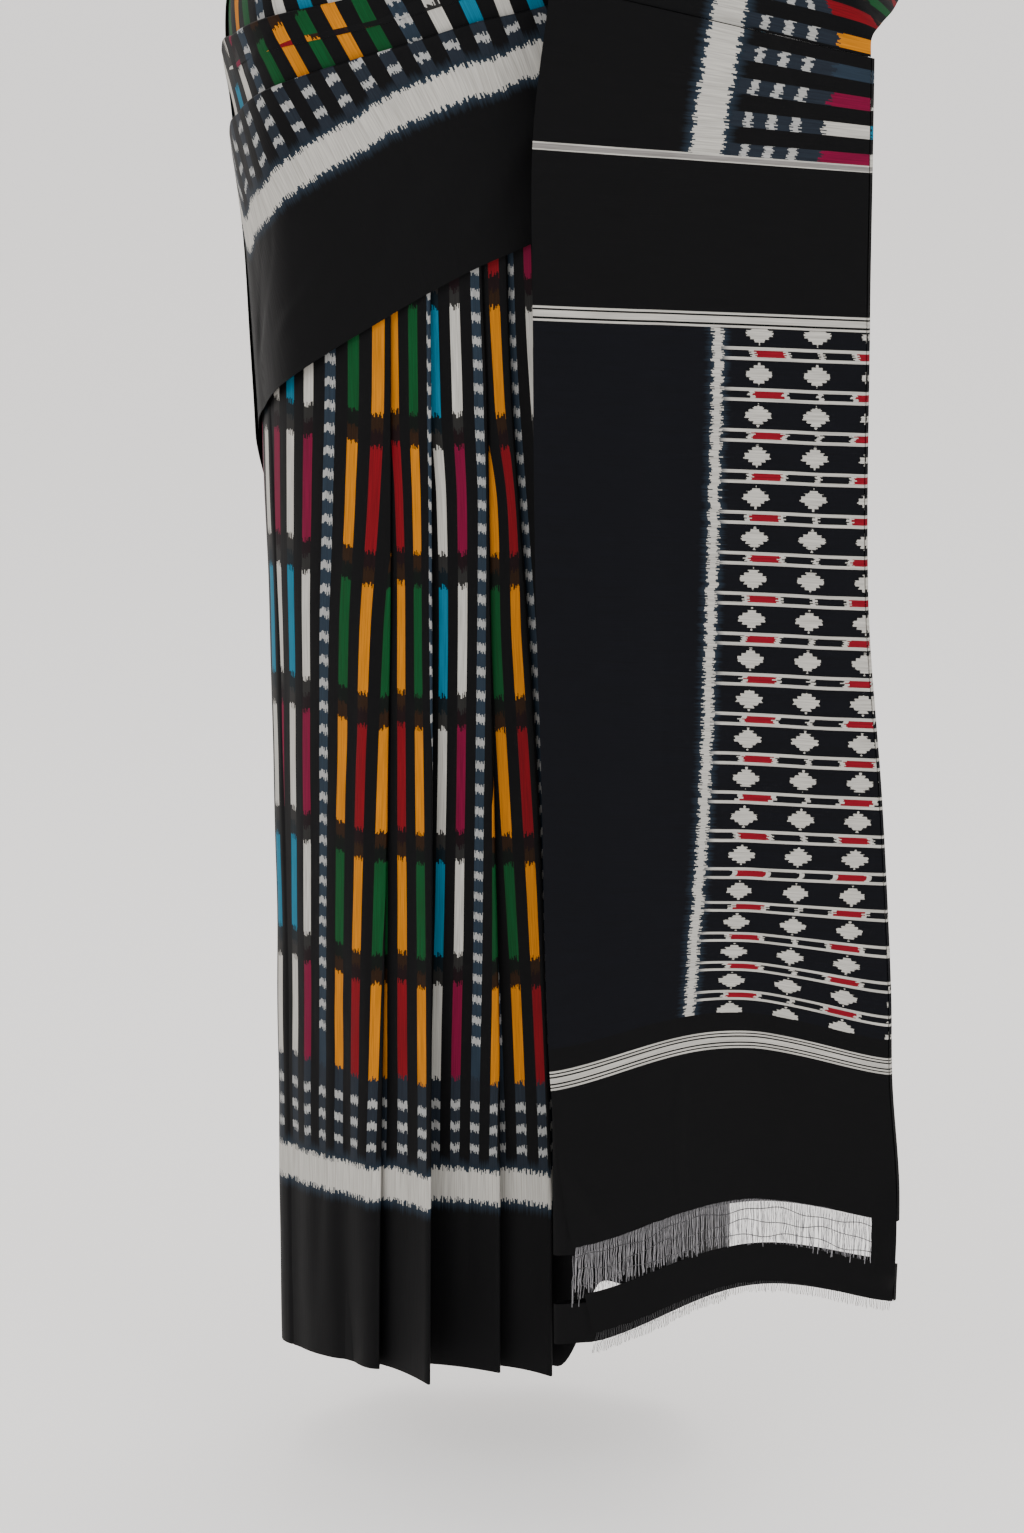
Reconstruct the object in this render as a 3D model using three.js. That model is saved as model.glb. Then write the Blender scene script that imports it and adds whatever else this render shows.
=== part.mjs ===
// Silk saree in its worn form: a wrapped skirt with front pleats, a diagonal over-wrap in three tiers,
// a drape over the left shoulder, and a folded end piece that hangs down the front on the left.
// Millimetres, +Z up, the front faces -Y, and the origin is the middle of the waist.
import * as THREE from 'three';
import { mergeVertices } from 'three/addons/utils/BufferGeometryUtils.js';

const WALL = 1.2;            // thickness of every cloth wall
const SEAM = 0.4;            // gap between two stretches of the one long cloth
const WAIST = 8;             // top edge of the wrapped skirt
const HEM = -1031;           // hem at the sides
const HEM_FRONT_LIFT = 14;   // the hem is this much higher at the front
const HEM_LEFT_LIFT = 62;    // and this much higher behind the hanging end
const ROUNDNESS = 0.91;      // exponent of the oval sections, 1 is an ellipse
const FOLD_RADIUS = 1.3;     // radius of a pressed fold, to the middle of the cloth

// Compass angles, in degrees: 270 is the front, 180 the right side, 90 the back, 360 the left side.
const SEAM_ANGLE = 0.15;     // half the gap between two stretches that run on into each other
const TURN_START = 250;      // the first turn starts here, under the pleats
const TURN_END = 560;        // it ends here, on the right, where the pleated stretch takes over
const BACK_START = -37;      // the second turn comes out from behind the hanging end here
const RIGHT_HIP = 185;       // the back stretch meets the front tiers here
const TIER_END = 286;        // the front tiers meet the shoulder band here
const BAND_START = 286.25;

// The wrapped skirt and torso: half width, and depth of front and back, at each height.
const FIGURE = [
  { z: -1040, half: 150, front: 97, back: 104 },
  { z: -900, half: 151, front: 99, back: 108 },
  { z: -720, half: 152, front: 103, back: 116 },
  { z: -510, half: 156, front: 109, back: 126 },
  { z: -370, half: 160, front: 113, back: 134 },
  { z: -264, half: 165, front: 115, back: 136 },
  { z: -188, half: 171, front: 113, back: 131 },
  { z: -110, half: 175, front: 107, back: 119 },
  { z: -50, half: 160, front: 99, back: 105 },
  { z: 10, half: 140, front: 93, back: 94 },
  { z: 100, half: 132, front: 97, back: 88 },
  { z: 200, half: 142, front: 118, back: 92 },
];

// Pleat edges, as x at each height, and how far a full pleat stands out there.
const PLEATS = [
  { z: -1040, e1: -82, e2: -47, e3: 0, e4: 35, e5: 63, e6: 90, e7: 116, stand: 27 },
  { z: -886, e1: -80, e2: -46, e3: 0, e4: 34, e5: 59, e6: 83, e7: 107, stand: 19 },
  { z: -748, e1: -77, e2: -45, e3: -1, e4: 30, e5: 53, e6: 75, e7: 97, stand: 14 },
  { z: -612, e1: -74, e2: -44, e3: -4, e4: 25, e5: 46, e6: 66, e7: 86, stand: 10.5 },
  { z: -480, e1: -71, e2: -44, e3: -6, e4: 17, e5: 38, e6: 58, e7: 77, stand: 8 },
  { z: -350, e1: -70, e2: -44, e3: -8, e4: 8, e5: 27, e6: 46, e7: 64, stand: 6.6 },
  { z: -267, e1: -69, e2: -44, e3: -11, e4: 5, e5: 22, e6: 40, e7: 57, stand: 6 },
  { z: 10, e1: -56, e2: -38, e3: -14, e4: 1, e5: 16, e6: 31, e7: 46, stand: 5.6 },
];
const PLEAT_EDGES = [
  { edge: 'e1', share: 0.4 },
  { edge: 'e2', share: 1.5 },
  { edge: 'e3', share: 0.5 },
  { edge: 'e4', share: 0.8 },
  { edge: 'e5', share: 0.8 },
  { edge: 'e6', share: 0.8 },
  { edge: 'e7', share: 0.7 },
];
const LEAST_STAND = 5.6;     // a pleat pressed flat still stands out this far
const PLEAT_BASE = 3;        // distance of the pleats' valleys from the first turn
const PLEAT_DEPTH = 0.62;    // a pleat is tucked back by this share of the way to the edge before it
const DEEPEST_TUCK = 24;     // but by no more than this
const LAST_FACE = 18;        // width of the cloth that runs on behind the last pleat
const GROOVE = { angle: 229, width: 4, depth: 4 };   // the largest soft trough in the face on the right
const BACK_BASE = 5.2;       // distance of the back stretch from the first turn
const BACK_RELIEF = 2.4;     // height of the tiers' folds there
const TIER_FLAP = 20;        // depth of the flap behind a tier's fold
const TIER_HIDDEN = 14;      // a tier starts this far below the fold in front of it

// Height lines of the over-wrap by compass angle.
const WRAP_LINES = [
  { angle: -42, hem: -968, foldOne: -836, foldTwo: -784, top: WAIST },
  { angle: 0, hem: -985, foldOne: -832, foldTwo: -780, top: WAIST },
  { angle: 30, hem: -952, foldOne: -775, foldTwo: -723, top: WAIST },
  { angle: 60, hem: -868, foldOne: -678, foldTwo: -626, top: WAIST },
  { angle: 90, hem: -750, foldOne: -560, foldTwo: -508, top: WAIST },
  { angle: 120, hem: -620, foldOne: -432, foldTwo: -380, top: WAIST },
  { angle: 150, hem: -492, foldOne: -304, foldTwo: -252, top: WAIST },
  { angle: 185, hem: -390, foldOne: -192, foldTwo: -137, top: 14 },
  { angle: 200, hem: -368, foldOne: -175, foldTwo: -125, top: 18 },
  { angle: 219, hem: -344, foldOne: -157, foldTwo: -112, top: 24 },
  { angle: 242, hem: -309, foldOne: -137, foldTwo: -98, top: 38 },
  { angle: 256, hem: -285, foldOne: -124, foldTwo: -86, top: 56 },
  { angle: 267, hem: -266, foldOne: -112, foldTwo: -74, top: 78 },
  { angle: 276, hem: -251, foldOne: -104, foldTwo: -64, top: 100 },
  { angle: 287, hem: -238, foldOne: -93, foldTwo: -51, top: 128 },
];

// The band over the shoulder: its border edge, its other edge, and how far it bulges between them.
// It climbs the front, crosses the shoulder, falls down the back, comes forward round the left side
// and turns down at the front.
const SHOULDER_BAND = [
  { ex: 61.5, ey: -126, ez: -236, tx: 49, ty: -114, tz: 128, bulge: 5 },
  { ex: 98, ey: -116, ez: -176, tx: 42, ty: -128, tz: 205, bulge: 20 },
  { ex: 132, ey: -92, ez: -60, tx: 44, ty: -126, tz: 275, bulge: 34 },
  { ex: 150, ey: -72, ez: 90, tx: 52, ty: -102, tz: 336, bulge: 34 },
  { ex: 158, ey: -62, ez: 235, tx: 60, ty: -68, tz: 382, bulge: 20 },
  { ex: 162, ey: -34, ez: 338, tx: 65, ty: -32, tz: 410, bulge: 9 },
  { ex: 164, ey: 7, ez: 368, tx: 68, ty: 9, tz: 418, bulge: 6 },
  { ex: 168, ey: 54, ez: 340, tx: 70, ty: 50, tz: 398, bulge: 7 },
  { ex: 186, ey: 92, ez: 272, tx: 78, ty: 92, tz: 322, bulge: 10 },
  { ex: 218, ey: 98, ez: 216, tx: 108, ty: 122, tz: 214, bulge: 14 },
  { ex: 250, ey: 70, ez: 184, tx: 166, ty: 138, tz: 104, bulge: 18 },
  { ex: 266, ey: 16, ez: 164, tx: 228, ty: 108, tz: 8, bulge: 22 },
  { ex: 262, ey: -46, ez: 148, tx: 262, ty: 30, tz: -50, bulge: 24 },
  { ex: 232, ey: -104, ez: 132, tx: 268, ty: -50, tz: -84, bulge: 22 },
  { ex: 176, ey: -142, ez: 108, tx: 254, ty: -108, tz: -102, bulge: 16 },
  { ex: 110, ey: -156, ez: 62, tx: 240, ty: -138, tz: -112, bulge: 10 },
  { ex: 56, ey: -158, ez: -10, tx: 232, ty: -150, tz: -120, bulge: 5 },
  { ex: 32, ey: -155, ez: -86, tx: 231, ty: -154, tz: -132, bulge: 2 },
];

// The hanging end: edges of its outer layer, the left edge of the layers behind, how far the right
// edge drops below the left one, the distance in front of the waist, and how deep its soft waves are.
const END_PIECE = [
  { z: -86, left: 32, right: 231, innerLeft: 36, drop: 46, front: 155, wave: 0 },
  { z: -182, left: 21, right: 231, innerLeft: 25, drop: 16, front: 155, wave: 1 },
  { z: -290, left: 21, right: 231, innerLeft: 25, drop: 8, front: 155, wave: 2 },
  { z: -470, left: 23, right: 233, innerLeft: 27, drop: 8, front: 156, wave: 3 },
  { z: -600, left: 27, right: 244, innerLeft: 31, drop: 8, front: 157, wave: 4 },
  { z: -733, left: 30, right: 252, innerLeft: 33, drop: 0, front: 157, wave: 5 },
  { z: -810, left: 34, right: 254, innerLeft: 36, drop: -12, front: 158, wave: 6 },
  { z: -890, left: 44, right: 260, innerLeft: 37, drop: -17, front: 158, wave: 7 },
  { z: -970, left: 62, right: 259, innerLeft: 38, drop: -22, front: 158, wave: 7 },
];
const END_ARCH = 22;              // the end piece is pulled up this far in its middle near the bottom
const END_HEIGHTS = [-86.6, -135, -182, -235, -290, -380, -470, -560, -640, -720, -790, -850, -910, -970];
const INNER_HANG = 9;             // the folded layers hang this much lower on their left
const INNER_FOLD_DEPTH = 3.4;    // step back from one layer of the folded end to the next
const INNER_LAYERS = 3;
const SHOULDER_CREST = 6;        // row of the shoulder band where its front and back stretches part
const CUT = 0.006;               // half the gap there, as a share of the way to the next row
const TIER_RISE = 5.2;           // a tier's face stands out this far at its fold
const STRANDS = 48;
const STRAND_LENGTH = 8;
const STRIP_HEIGHT = 2;
const STRIP_SHARES = { from: 0.03, to: 0.97 };

const COLOURS = {
  black: new THREE.Color('#141416'),
  ikat: new THREE.Color('#2a2428'),
  fringe: new THREE.Color('#3a3a3e'),
};

const radians = THREE.MathUtils.degToRad;
const lerp = THREE.MathUtils.lerp;
const smooth = (value, low, high) => THREE.MathUtils.smoothstep(value, low, high);

/** Reads one column of a table at a place between its rows, along a smooth curve. */
function readTable(rows, key, column, place) {
  const rising = rows[rows.length - 1][key] > rows[0][key] ? rows : [...rows].reverse();
  const last = rising.length - 1;
  const at = THREE.MathUtils.clamp(place, rising[0][key], rising[last][key]);
  let row = 0;
  while (row < last - 1 && rising[row + 1][key] < at) row += 1;
  const slope = (index) => {
    const before = rising[Math.max(index - 1, 0)];
    const after = rising[Math.min(index + 1, last)];
    return (after[column] - before[column]) / (after[key] - before[key]);
  };
  const span = rising[row + 1][key] - rising[row][key];
  const t = (at - rising[row][key]) / span;
  const start = rising[row][column];
  const end = rising[row + 1][column];
  const bend = t * t * (3 - 2 * t);
  return start + (end - start) * bend
    + span * (slope(row) * t * (1 - t) ** 2 - slope(row + 1) * t * t * (1 - t));
}

/** Soft upright folds of the skirt, none at the front, deeper towards the hem. */
function flute(angle, z) {
  const turn = radians(angle);
  const away = smooth(Math.abs(((angle - 90 + 540) % 360) - 180), 96, 118);
  const depth = 7 * smooth(-z, 260, 1040) * (1 - away);
  return depth * (0.6 * Math.cos(9 * turn + 0.6) + 0.4 * Math.cos(5 * turn + 2));
}

/** A point round the figure, moved out from the oval section by an offset. */
function onFigure(angle, z, offset) {
  const turn = radians(angle);
  const half = readTable(FIGURE, 'z', 'half', z);
  const depth = readTable(FIGURE, 'z', Math.sin(turn) < 0 ? 'front' : 'back', z);
  const out = offset + flute(angle, z);
  const oval = (value) => Math.sign(value) * Math.abs(value) ** ROUNDNESS;
  const x = half * oval(Math.cos(turn));
  const y = depth * oval(Math.sin(turn));
  const normal = new THREE.Vector2(x / half ** 2, y / depth ** 2).normalize();
  return new THREE.Vector3(x + out * normal.x, y + out * normal.y, z);
}

/** The compass angle on the front where the figure has this x. */
function angleAtX(x, z) {
  const half = readTable(FIGURE, 'z', 'half', z);
  const share = Math.min(Math.abs(x) / half, 1) ** (1 / ROUNDNESS);
  return 270 + Math.sign(x) * (90 - THREE.MathUtils.radToDeg(Math.acos(share)));
}

/** A closed cloth wall round a grid of points on the middle of the cloth. */
function clothWall(grid) {
  const rows = grid.length;
  const columns = grid[0].length;
  const positions = [];
  const place = (row, column, side) => 2 * (row * columns + column) + side;
  for (let row = 0; row < rows; row += 1) {
    for (let column = 0; column < columns; column += 1) {
      const point = grid[row][column];
      const along = grid[row][Math.min(column + 1, columns - 1)].clone()
        .sub(grid[row][Math.max(column - 1, 0)]);
      const up = grid[Math.min(row + 1, rows - 1)][column].clone()
        .sub(grid[Math.max(row - 1, 0)][column]);
      const normal = along.cross(up).normalize().multiplyScalar(WALL / 2);
      positions.push(...point.clone().add(normal).toArray(), ...point.clone().sub(normal).toArray());
    }
  }
  const faces = [];
  const quad = (a, b, c, d) => faces.push(a, b, c, a, c, d);
  for (let row = 0; row < rows - 1; row += 1) {
    for (let column = 0; column < columns - 1; column += 1) {
      const corner = (dr, dc, side) => place(row + dr, column + dc, side);
      quad(corner(0, 0, 0), corner(0, 1, 0), corner(1, 1, 0), corner(1, 0, 0));
      quad(corner(0, 0, 1), corner(1, 0, 1), corner(1, 1, 1), corner(0, 1, 1));
    }
  }
  for (let row = 0; row < rows - 1; row += 1) {
    const end = columns - 1;
    quad(place(row, 0, 1), place(row, 0, 0), place(row + 1, 0, 0), place(row + 1, 0, 1));
    quad(place(row, end, 0), place(row, end, 1), place(row + 1, end, 1), place(row + 1, end, 0));
  }
  for (let column = 0; column < columns - 1; column += 1) {
    const end = rows - 1;
    quad(place(0, column, 1), place(0, column + 1, 1), place(0, column + 1, 0), place(0, column, 0));
    quad(place(end, column, 0), place(end, column + 1, 0), place(end, column + 1, 1), place(end, column, 1));
  }
  const geometry = new THREE.BufferGeometry();
  geometry.setAttribute('position', new THREE.Float32BufferAttribute(positions, 3));
  geometry.setIndex(faces);
  return geometry;
}

/** Evenly spaced values from start to end, both included. */
function steps(start, end, count) {
  return Array.from({ length: count + 1 }, (_, index) => lerp(start, end, index / count));
}

/** Height of a skirt point: the hem is higher at the front, and more so behind the hanging end. */
function hemHeight(angle, z) {
  const facingFront = Math.max(0, -Math.sin(radians(angle))) ** 2;
  const behindEnd = smooth(angle, 283, 296) * (1 - smooth(angle, 338, 400));
  const nearHem = smooth(-z, 700, -HEM);
  return z + (HEM_FRONT_LIFT * facingFront + HEM_LEFT_LIFT * behindEnd) * nearHem;
}

const SKIRT_HEIGHTS = [HEM, -930, -800, -660, -520, -380, -270, -190, -130, -85, -40, WAIST];

/** First turn of the cloth, from the front round the left side and the back to the right side. */
function innerWrap() {
  const angles = steps(TURN_START, TURN_END - SEAM_ANGLE, 38);
  return clothWall(SKIRT_HEIGHTS.map((z) => angles.map((angle) => {
    const lifted = hemHeight(angle, z);
    return onFigure(angle, lifted, 0);
  })));
}

/** One level of the knife pleats, as points along the cloth from the right side to the left. */
function pleatLevel(z) {
  const radius = FOLD_RADIUS;
  const read = (column) => readTable(PLEATS, 'z', column, z);
  const stand = read('stand');
  const frontPoint = (x, height) => {
    const angle = angleAtX(x, z);
    const lifted = hemHeight(angle, z);
    const point = onFigure(angle, lifted, PLEAT_BASE);
    return new THREE.Vector3(x, point.y - height, lifted);
  };
  const points = [];
  const firstEdge = read('e1');
  const topOf = (share) => 4 * radius + (stand - LEAST_STAND) * share;
  const firstTop = topOf(PLEAT_EDGES[0].share);
  const firstAngle = angleAtX(firstEdge - radius, z);
  for (const angle of steps(TURN_END - 360 + SEAM_ANGLE, firstAngle, 10).slice(0, -1)) {
    const share = smooth(angle, 214, firstAngle);
    const out = PLEAT_BASE * smooth(angle, 200, 225);
    const trough = Math.exp(-(((angle - GROOVE.angle) / GROOVE.width) ** 2));
    const groove = GROOVE.depth * smooth(-z, 650, 1000) * trough;
    const point = onFigure(angle, hemHeight(angle, z), out - groove);
    points.push(point.add(new THREE.Vector3(0, -firstTop * share ** 2, 0)));
  }
  PLEAT_EDGES.forEach(({ edge, share }, index) => {
    const x = read(edge);
    const before = index ? read(PLEAT_EDGES[index - 1].edge) : x - 40;
    const top = topOf(share);
    const tuck = Math.min(PLEAT_DEPTH * (x - before), DEEPEST_TUCK);
    const valley = x - tuck;
    points.push(frontPoint(x - radius, top));
    points.push(frontPoint(x, top - radius));
    points.push(frontPoint(x - radius, top - 2 * radius));
    points.push(frontPoint(valley + radius, 2 * radius));
    points.push(frontPoint(valley, radius));
    points.push(frontPoint(valley + radius, 0));
    const next = PLEAT_EDGES[index + 1];
    const nextX = next ? read(next.edge) - radius : x + LAST_FACE;
    const nextTop = next ? topOf(next.share) : 1.5;
    for (const t of [0.3, 0.55, 0.78]) {
      const height = nextTop * t ** 2.2;
      points.push(frontPoint(lerp(valley + radius, nextX, t), height));
    }
    if (!next) points.push(frontPoint(nextX, nextTop));
  });
  return points;
}

/** The front pleats with the smooth face that leads into them from the right side. */
function frontPleats() {
  const heights = [HEM, -975, -905, -820, -720, -600, -480, -360, -250, -150, -70, WAIST];
  return clothWall(heights.map(pleatLevel));
}

/** Where the over-wrap lies, as an offset from the figure: it clears the pleats at the front. */
function wrapOffset(angle) {
  const round = (angle + 360) % 360;
  const overPleats = smooth(round, 196, 222) * (1 - smooth(round, 318, 340));
  return lerp(PLEAT_BASE, 11.6, overPleats);
}

/** Second turn over the back, whose hem climbs from the left side to the right hip. */
function backWrap() {
  const angles = steps(BACK_START, RIGHT_HIP - SEAM_ANGLE, 30);
  const columns = angles.map((angle) => {
    const line = (column) => readTable(WRAP_LINES, 'angle', column, angle);
    const fade = smooth(angle, 10, 120);
    const level = (z, folds) => onFigure(angle, z, BACK_BASE + BACK_RELIEF * folds * fade);
    return [
      ...steps(line('hem'), line('foldOne') - 6, 4).map((z) => level(z, 0.4)),
      level(line('foldOne'), 1),
      level(line('foldOne') + 5, 0),
      level(line('foldTwo') - 5, 0.2),
      level(line('foldTwo'), 1),
      level(line('foldTwo') + 5, 0),
      ...steps(1, 0, 8).slice(1).map((t) => level(lerp(line('top'), line('foldTwo') + 5, t ** 1.6), 0)),
    ];
  });
  return clothWall(columns[0].map((_, row) => columns.map((column) => column[row])));
}

/** One tier of the front over-wrap: its face, the round fold on top, and the flap behind it. */
function frontTier(lower, upper, hiddenDepth, folded) {
  const radius = FOLD_RADIUS;
  const angles = steps(RIGHT_HIP + SEAM_ANGLE, TIER_END, 18);
  const columns = angles.map((angle) => {
    const line = (column) => readTable(WRAP_LINES, 'angle', column, angle);
    const bottom = line(lower) - hiddenDepth;
    const top = line(upper);
    const level = (z, out) => onFigure(angle, z, wrapOffset(angle) + out);
    const face = steps(0, 1, 5).map((t) => level(lerp(bottom, top - radius, t), TIER_RISE * t ** 2));
    if (!folded) return face;
    return [
      ...face,
      level(top, TIER_RISE - radius),
      level(top - radius, TIER_RISE - 2 * radius),
      level(top - TIER_FLAP, TIER_RISE - 2 * radius - 0.3),
    ];
  });
  return clothWall(columns[0].map((_, row) => columns.map((column) => column[row])));
}

/** How far a tier's face stands out: it rises to its fold, where the next tier starts behind it. */
function tierRise(height, lines) {
  const tiers = [[lines.hem, lines.foldOne], [lines.foldOne, lines.foldTwo], [lines.foldTwo, lines.top]];
  const [bottom, top] = tiers.find(([, upper]) => height <= upper + 1e-6) ?? tiers[2];
  return TIER_RISE * ((height - bottom) / (top - bottom)) ** 2;
}

/** A stretch of the shoulder band, with the folds of its tiers as low ridges. */
function shoulderBand(from, to) {
  const start = { angle: BAND_START };
  for (const column of ['hem', 'foldOne', 'foldTwo', 'top']) {
    start[column] = readTable(WRAP_LINES, 'angle', column, start.angle);
  }
  const heights = [
    ...steps(start.hem, start.foldOne, 4),
    ...steps(start.foldOne + 3, start.foldTwo, 2),
    ...steps(start.foldTwo + 3, start.top, 5),
  ];
  const count = SHOULDER_BAND.length - 1;
  const indexed = SHOULDER_BAND.map((station, index) => ({ ...station, index }));
  const read = (column, at) => readTable(indexed, 'index', column, at);
  const edge = (name, at) => new THREE.Vector3(
    read(`${name}x`, at), read(`${name}y`, at), read(`${name}z`, at),
  );
  const places = steps(from, to, Math.round((to - from) * 2.4));
  const columns = places.map((at) => {
    const border = edge('e', at);
    const other = edge('t', at);
    const ahead = edge('e', Math.min(at + 0.05, count)).add(edge('t', Math.min(at + 0.05, count)));
    const behind = edge('e', Math.max(at - 0.05, 0)).add(edge('t', Math.max(at - 0.05, 0)));
    const heading = ahead.sub(behind).normalize();
    const width = other.clone().sub(border);
    const out = width.clone().cross(heading).normalize();
    const fade = 1 - smooth(at, count - 3, count - 0.4);
    return heights.map((height) => {
      const t = (height - start.hem) / (start.top - start.hem);
      const rise = tierRise(height, start);
      const bulge = read('bulge', at) * 4 * t * (1 - t);
      const free = border.clone().lerp(other, t).addScaledVector(out, bulge + rise * fade);
      const joined = onFigure(start.angle, height, wrapOffset(start.angle) + rise);
      return joined.lerp(free, smooth(at, 0, 1));
    });
  });
  return clothWall(columns[0].map((_, row) => columns.map((column) => column[row])));
}

/** A point of the hanging end: share runs from its left edge to its right, layers step back. */
function endPoint(z, share, layer) {
  const read = (column) => readTable(END_PIECE, 'z', column, z);
  const left = read('left');
  const right = read('right');
  const ripple = read('wave') * (0.6 * Math.sin(6.5 * share + 0.4) + 0.2 * Math.sin(10 * share));
  const middle = Math.sin(Math.PI * THREE.MathUtils.clamp(share, 0, 1));
  const arch = END_ARCH * smooth(-z, 640, 800) * middle ** 1.3;
  return new THREE.Vector3(
    lerp(left, right, share),
    -read('front') - ripple + INNER_FOLD_DEPTH * layer,
    z - read('drop') * share + arch,
  );
}

/** The outer layer of the hanging end, in front. */
function endFront() {
  const shares = steps(0, 1, 12);
  return clothWall(END_HEIGHTS.map((z) => shares.map((share) => endPoint(z, share, 0))));
}

/** The layers folded behind it, to and fro, one sheet. */
function endFolds() {
  const radius = INNER_FOLD_DEPTH / 2;
  const leftEdge = 0;
  const rightEdge = 0.985;
  return clothWall(END_HEIGHTS.map((z) => {
    const width = readTable(END_PIECE, 'z', 'right', z) - readTable(END_PIECE, 'z', 'left', z);
    const turn = radius / width;
    const hang = INNER_HANG * smooth(-z, 800, 970);
    const inset = (readTable(END_PIECE, 'z', 'innerLeft', z) - readTable(END_PIECE, 'z', 'left', z)) / width;
    const inner = (share, layer) => endPoint(z, lerp(inset, 1, share), layer)
      .add(new THREE.Vector3(0, 0, -hang * Math.max(0, 1 - share)));
    const points = [];
    points.push(endPoint(z, 1 + (SEAM + 0.2) / width, 0), endPoint(z, 1 + (SEAM + 0.2) / width + turn, 0.5));
    for (let layer = 1; layer <= INNER_LAYERS; layer += 1) {
      const toLeft = layer % 2 === 1;
      const start = toLeft ? rightEdge : leftEdge;
      const end = toLeft ? leftEdge : rightEdge;
      for (const share of steps(start, end, 8)) points.push(inner(share, layer));
      if (layer < INNER_LAYERS) points.push(inner(end + (toLeft ? -turn : turn), layer + 0.5));
    }
    return points;
  }));
}

/** The frayed end: a narrow strip with loose strands, just below the outer layer. */
function fringe() {
  const top = -SEAM;
  const root = top - STRIP_HEIGHT;
  const pitch = (STRIP_SHARES.to - STRIP_SHARES.from) / STRANDS;
  const lowest = END_HEIGHTS[END_HEIGHTS.length - 1];
  const corners = [];
  const place = ([share, height], side) => {
    const hung = endPoint(lowest, share, 0);
    return new THREE.Vector3(hung.x, hung.y - side * WALL / 2, hung.z + height);
  };
  const quad = (a, b, c, d) => corners.push(a, b, c, a, c, d);
  const plate = (outline, openEdges) => {
    const front = outline.map((corner) => place(corner, 1));
    const back = outline.map((corner) => place(corner, -1));
    quad(front[0], front[1], front[2], front[3]);
    quad(back[3], back[2], back[1], back[0]);
    for (const edge of openEdges) {
      const next = (edge + 1) % 4;
      quad(front[edge], back[edge], back[next], front[next]);
    }
  };
  let left = STRIP_SHARES.from;
  for (let strand = 0; strand < STRANDS; strand += 1) {
    const start = STRIP_SHARES.from + (strand + 0.3) * pitch;
    const end = start + 0.45 * pitch;
    const lean = 0.2 * pitch * Math.sin(strand * 2.4);
    const tip = root - STRAND_LENGTH * (0.72 + 0.28 * Math.sin(strand * 1.7));
    const gapEdges = strand ? [0, 2] : [0, 2, 3];
    plate([[left, root], [start, root], [start, top], [left, top]], gapEdges);
    plate([[start, root], [end, root], [end, top], [start, top]], [2]);
    plate([[start + lean + 0.1 * pitch, tip], [end + lean - 0.1 * pitch, tip], [end, root], [start, root]],
      [0, 1, 3]);
    left = end;
  }
  plate([[left, root], [STRIP_SHARES.to, root], [STRIP_SHARES.to, top], [left, top]], [0, 1, 2]);
  const soup = new THREE.BufferGeometry().setFromPoints(corners);
  return mergeVertices(soup, 1e-4);
}

const group = new THREE.Group();

/** Adds one stretch of the cloth under its own name. */
function addPiece(name, geometry, colour) {
  const material = new THREE.MeshStandardMaterial({ color: colour, roughness: 0.45, metalness: 0 });
  const mesh = new THREE.Mesh(geometry, material);
  mesh.name = name;
  group.add(mesh);
}

addPiece('inner_wrap', innerWrap(), COLOURS.ikat);
addPiece('front_pleats', frontPleats(), COLOURS.ikat);
addPiece('back_wrap', backWrap(), COLOURS.ikat);
addPiece('border_tier', frontTier('hem', 'foldOne', 0, true), COLOURS.black);
addPiece('middle_tier', frontTier('foldOne', 'foldTwo', TIER_HIDDEN, true), COLOURS.ikat);
addPiece('upper_tier', frontTier('foldTwo', 'top', TIER_HIDDEN, false), COLOURS.ikat);
const lastStation = SHOULDER_BAND.length - 1;
addPiece('shoulder_drape', shoulderBand(0, SHOULDER_CREST - CUT), COLOURS.ikat);
addPiece('back_swing', shoulderBand(SHOULDER_CREST + CUT, lastStation), COLOURS.ikat);
addPiece('end_front', endFront(), COLOURS.black);
addPiece('end_folds', endFolds(), COLOURS.black);
addPiece('end_fringe', fringe(), COLOURS.fringe);

export default group;
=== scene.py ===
"""Looks of a silk saree in its worn form: thin cloths, their ikat weave, light and camera.

The cloths are worked out in millimetres with +Z up and the front to -Y, and are written in metres.
"""

import logging
import math
from collections.abc import Sequence
from dataclasses import dataclass, field
from enum import Enum

import bpy
import numpy as np
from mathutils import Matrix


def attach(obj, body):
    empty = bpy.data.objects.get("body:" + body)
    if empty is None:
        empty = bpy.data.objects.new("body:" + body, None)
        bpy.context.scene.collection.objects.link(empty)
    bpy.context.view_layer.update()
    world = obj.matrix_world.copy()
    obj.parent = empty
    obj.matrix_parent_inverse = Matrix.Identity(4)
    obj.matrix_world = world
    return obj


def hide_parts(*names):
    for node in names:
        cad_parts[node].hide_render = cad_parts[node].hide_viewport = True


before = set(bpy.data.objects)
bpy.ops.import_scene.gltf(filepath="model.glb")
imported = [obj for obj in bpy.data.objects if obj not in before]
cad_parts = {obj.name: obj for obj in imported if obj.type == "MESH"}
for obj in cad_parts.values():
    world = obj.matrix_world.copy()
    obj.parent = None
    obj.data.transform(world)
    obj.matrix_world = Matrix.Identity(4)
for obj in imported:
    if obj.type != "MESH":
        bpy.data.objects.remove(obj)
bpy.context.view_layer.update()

log = logging.getLogger("saree")
MM = 0.001                   # metres in a millimetre
WAIST = 8.0                  # top edge of the wrapped skirt
HEM = -1031.0                # hem at the sides
HEM_FRONT_LIFT = 14.0        # the hem is this much higher at the front
HEM_LEFT_LIFT = 62.0         # and this much higher behind the hanging end
ROUNDNESS = 0.91             # exponent of the oval sections, 1 is an ellipse
FLUTE = 7.0                  # the skirt waves in and out this far at the hem
FLUTE_HEIGHTS = (260, 1040)  # and starts to at the first of these depths
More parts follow.
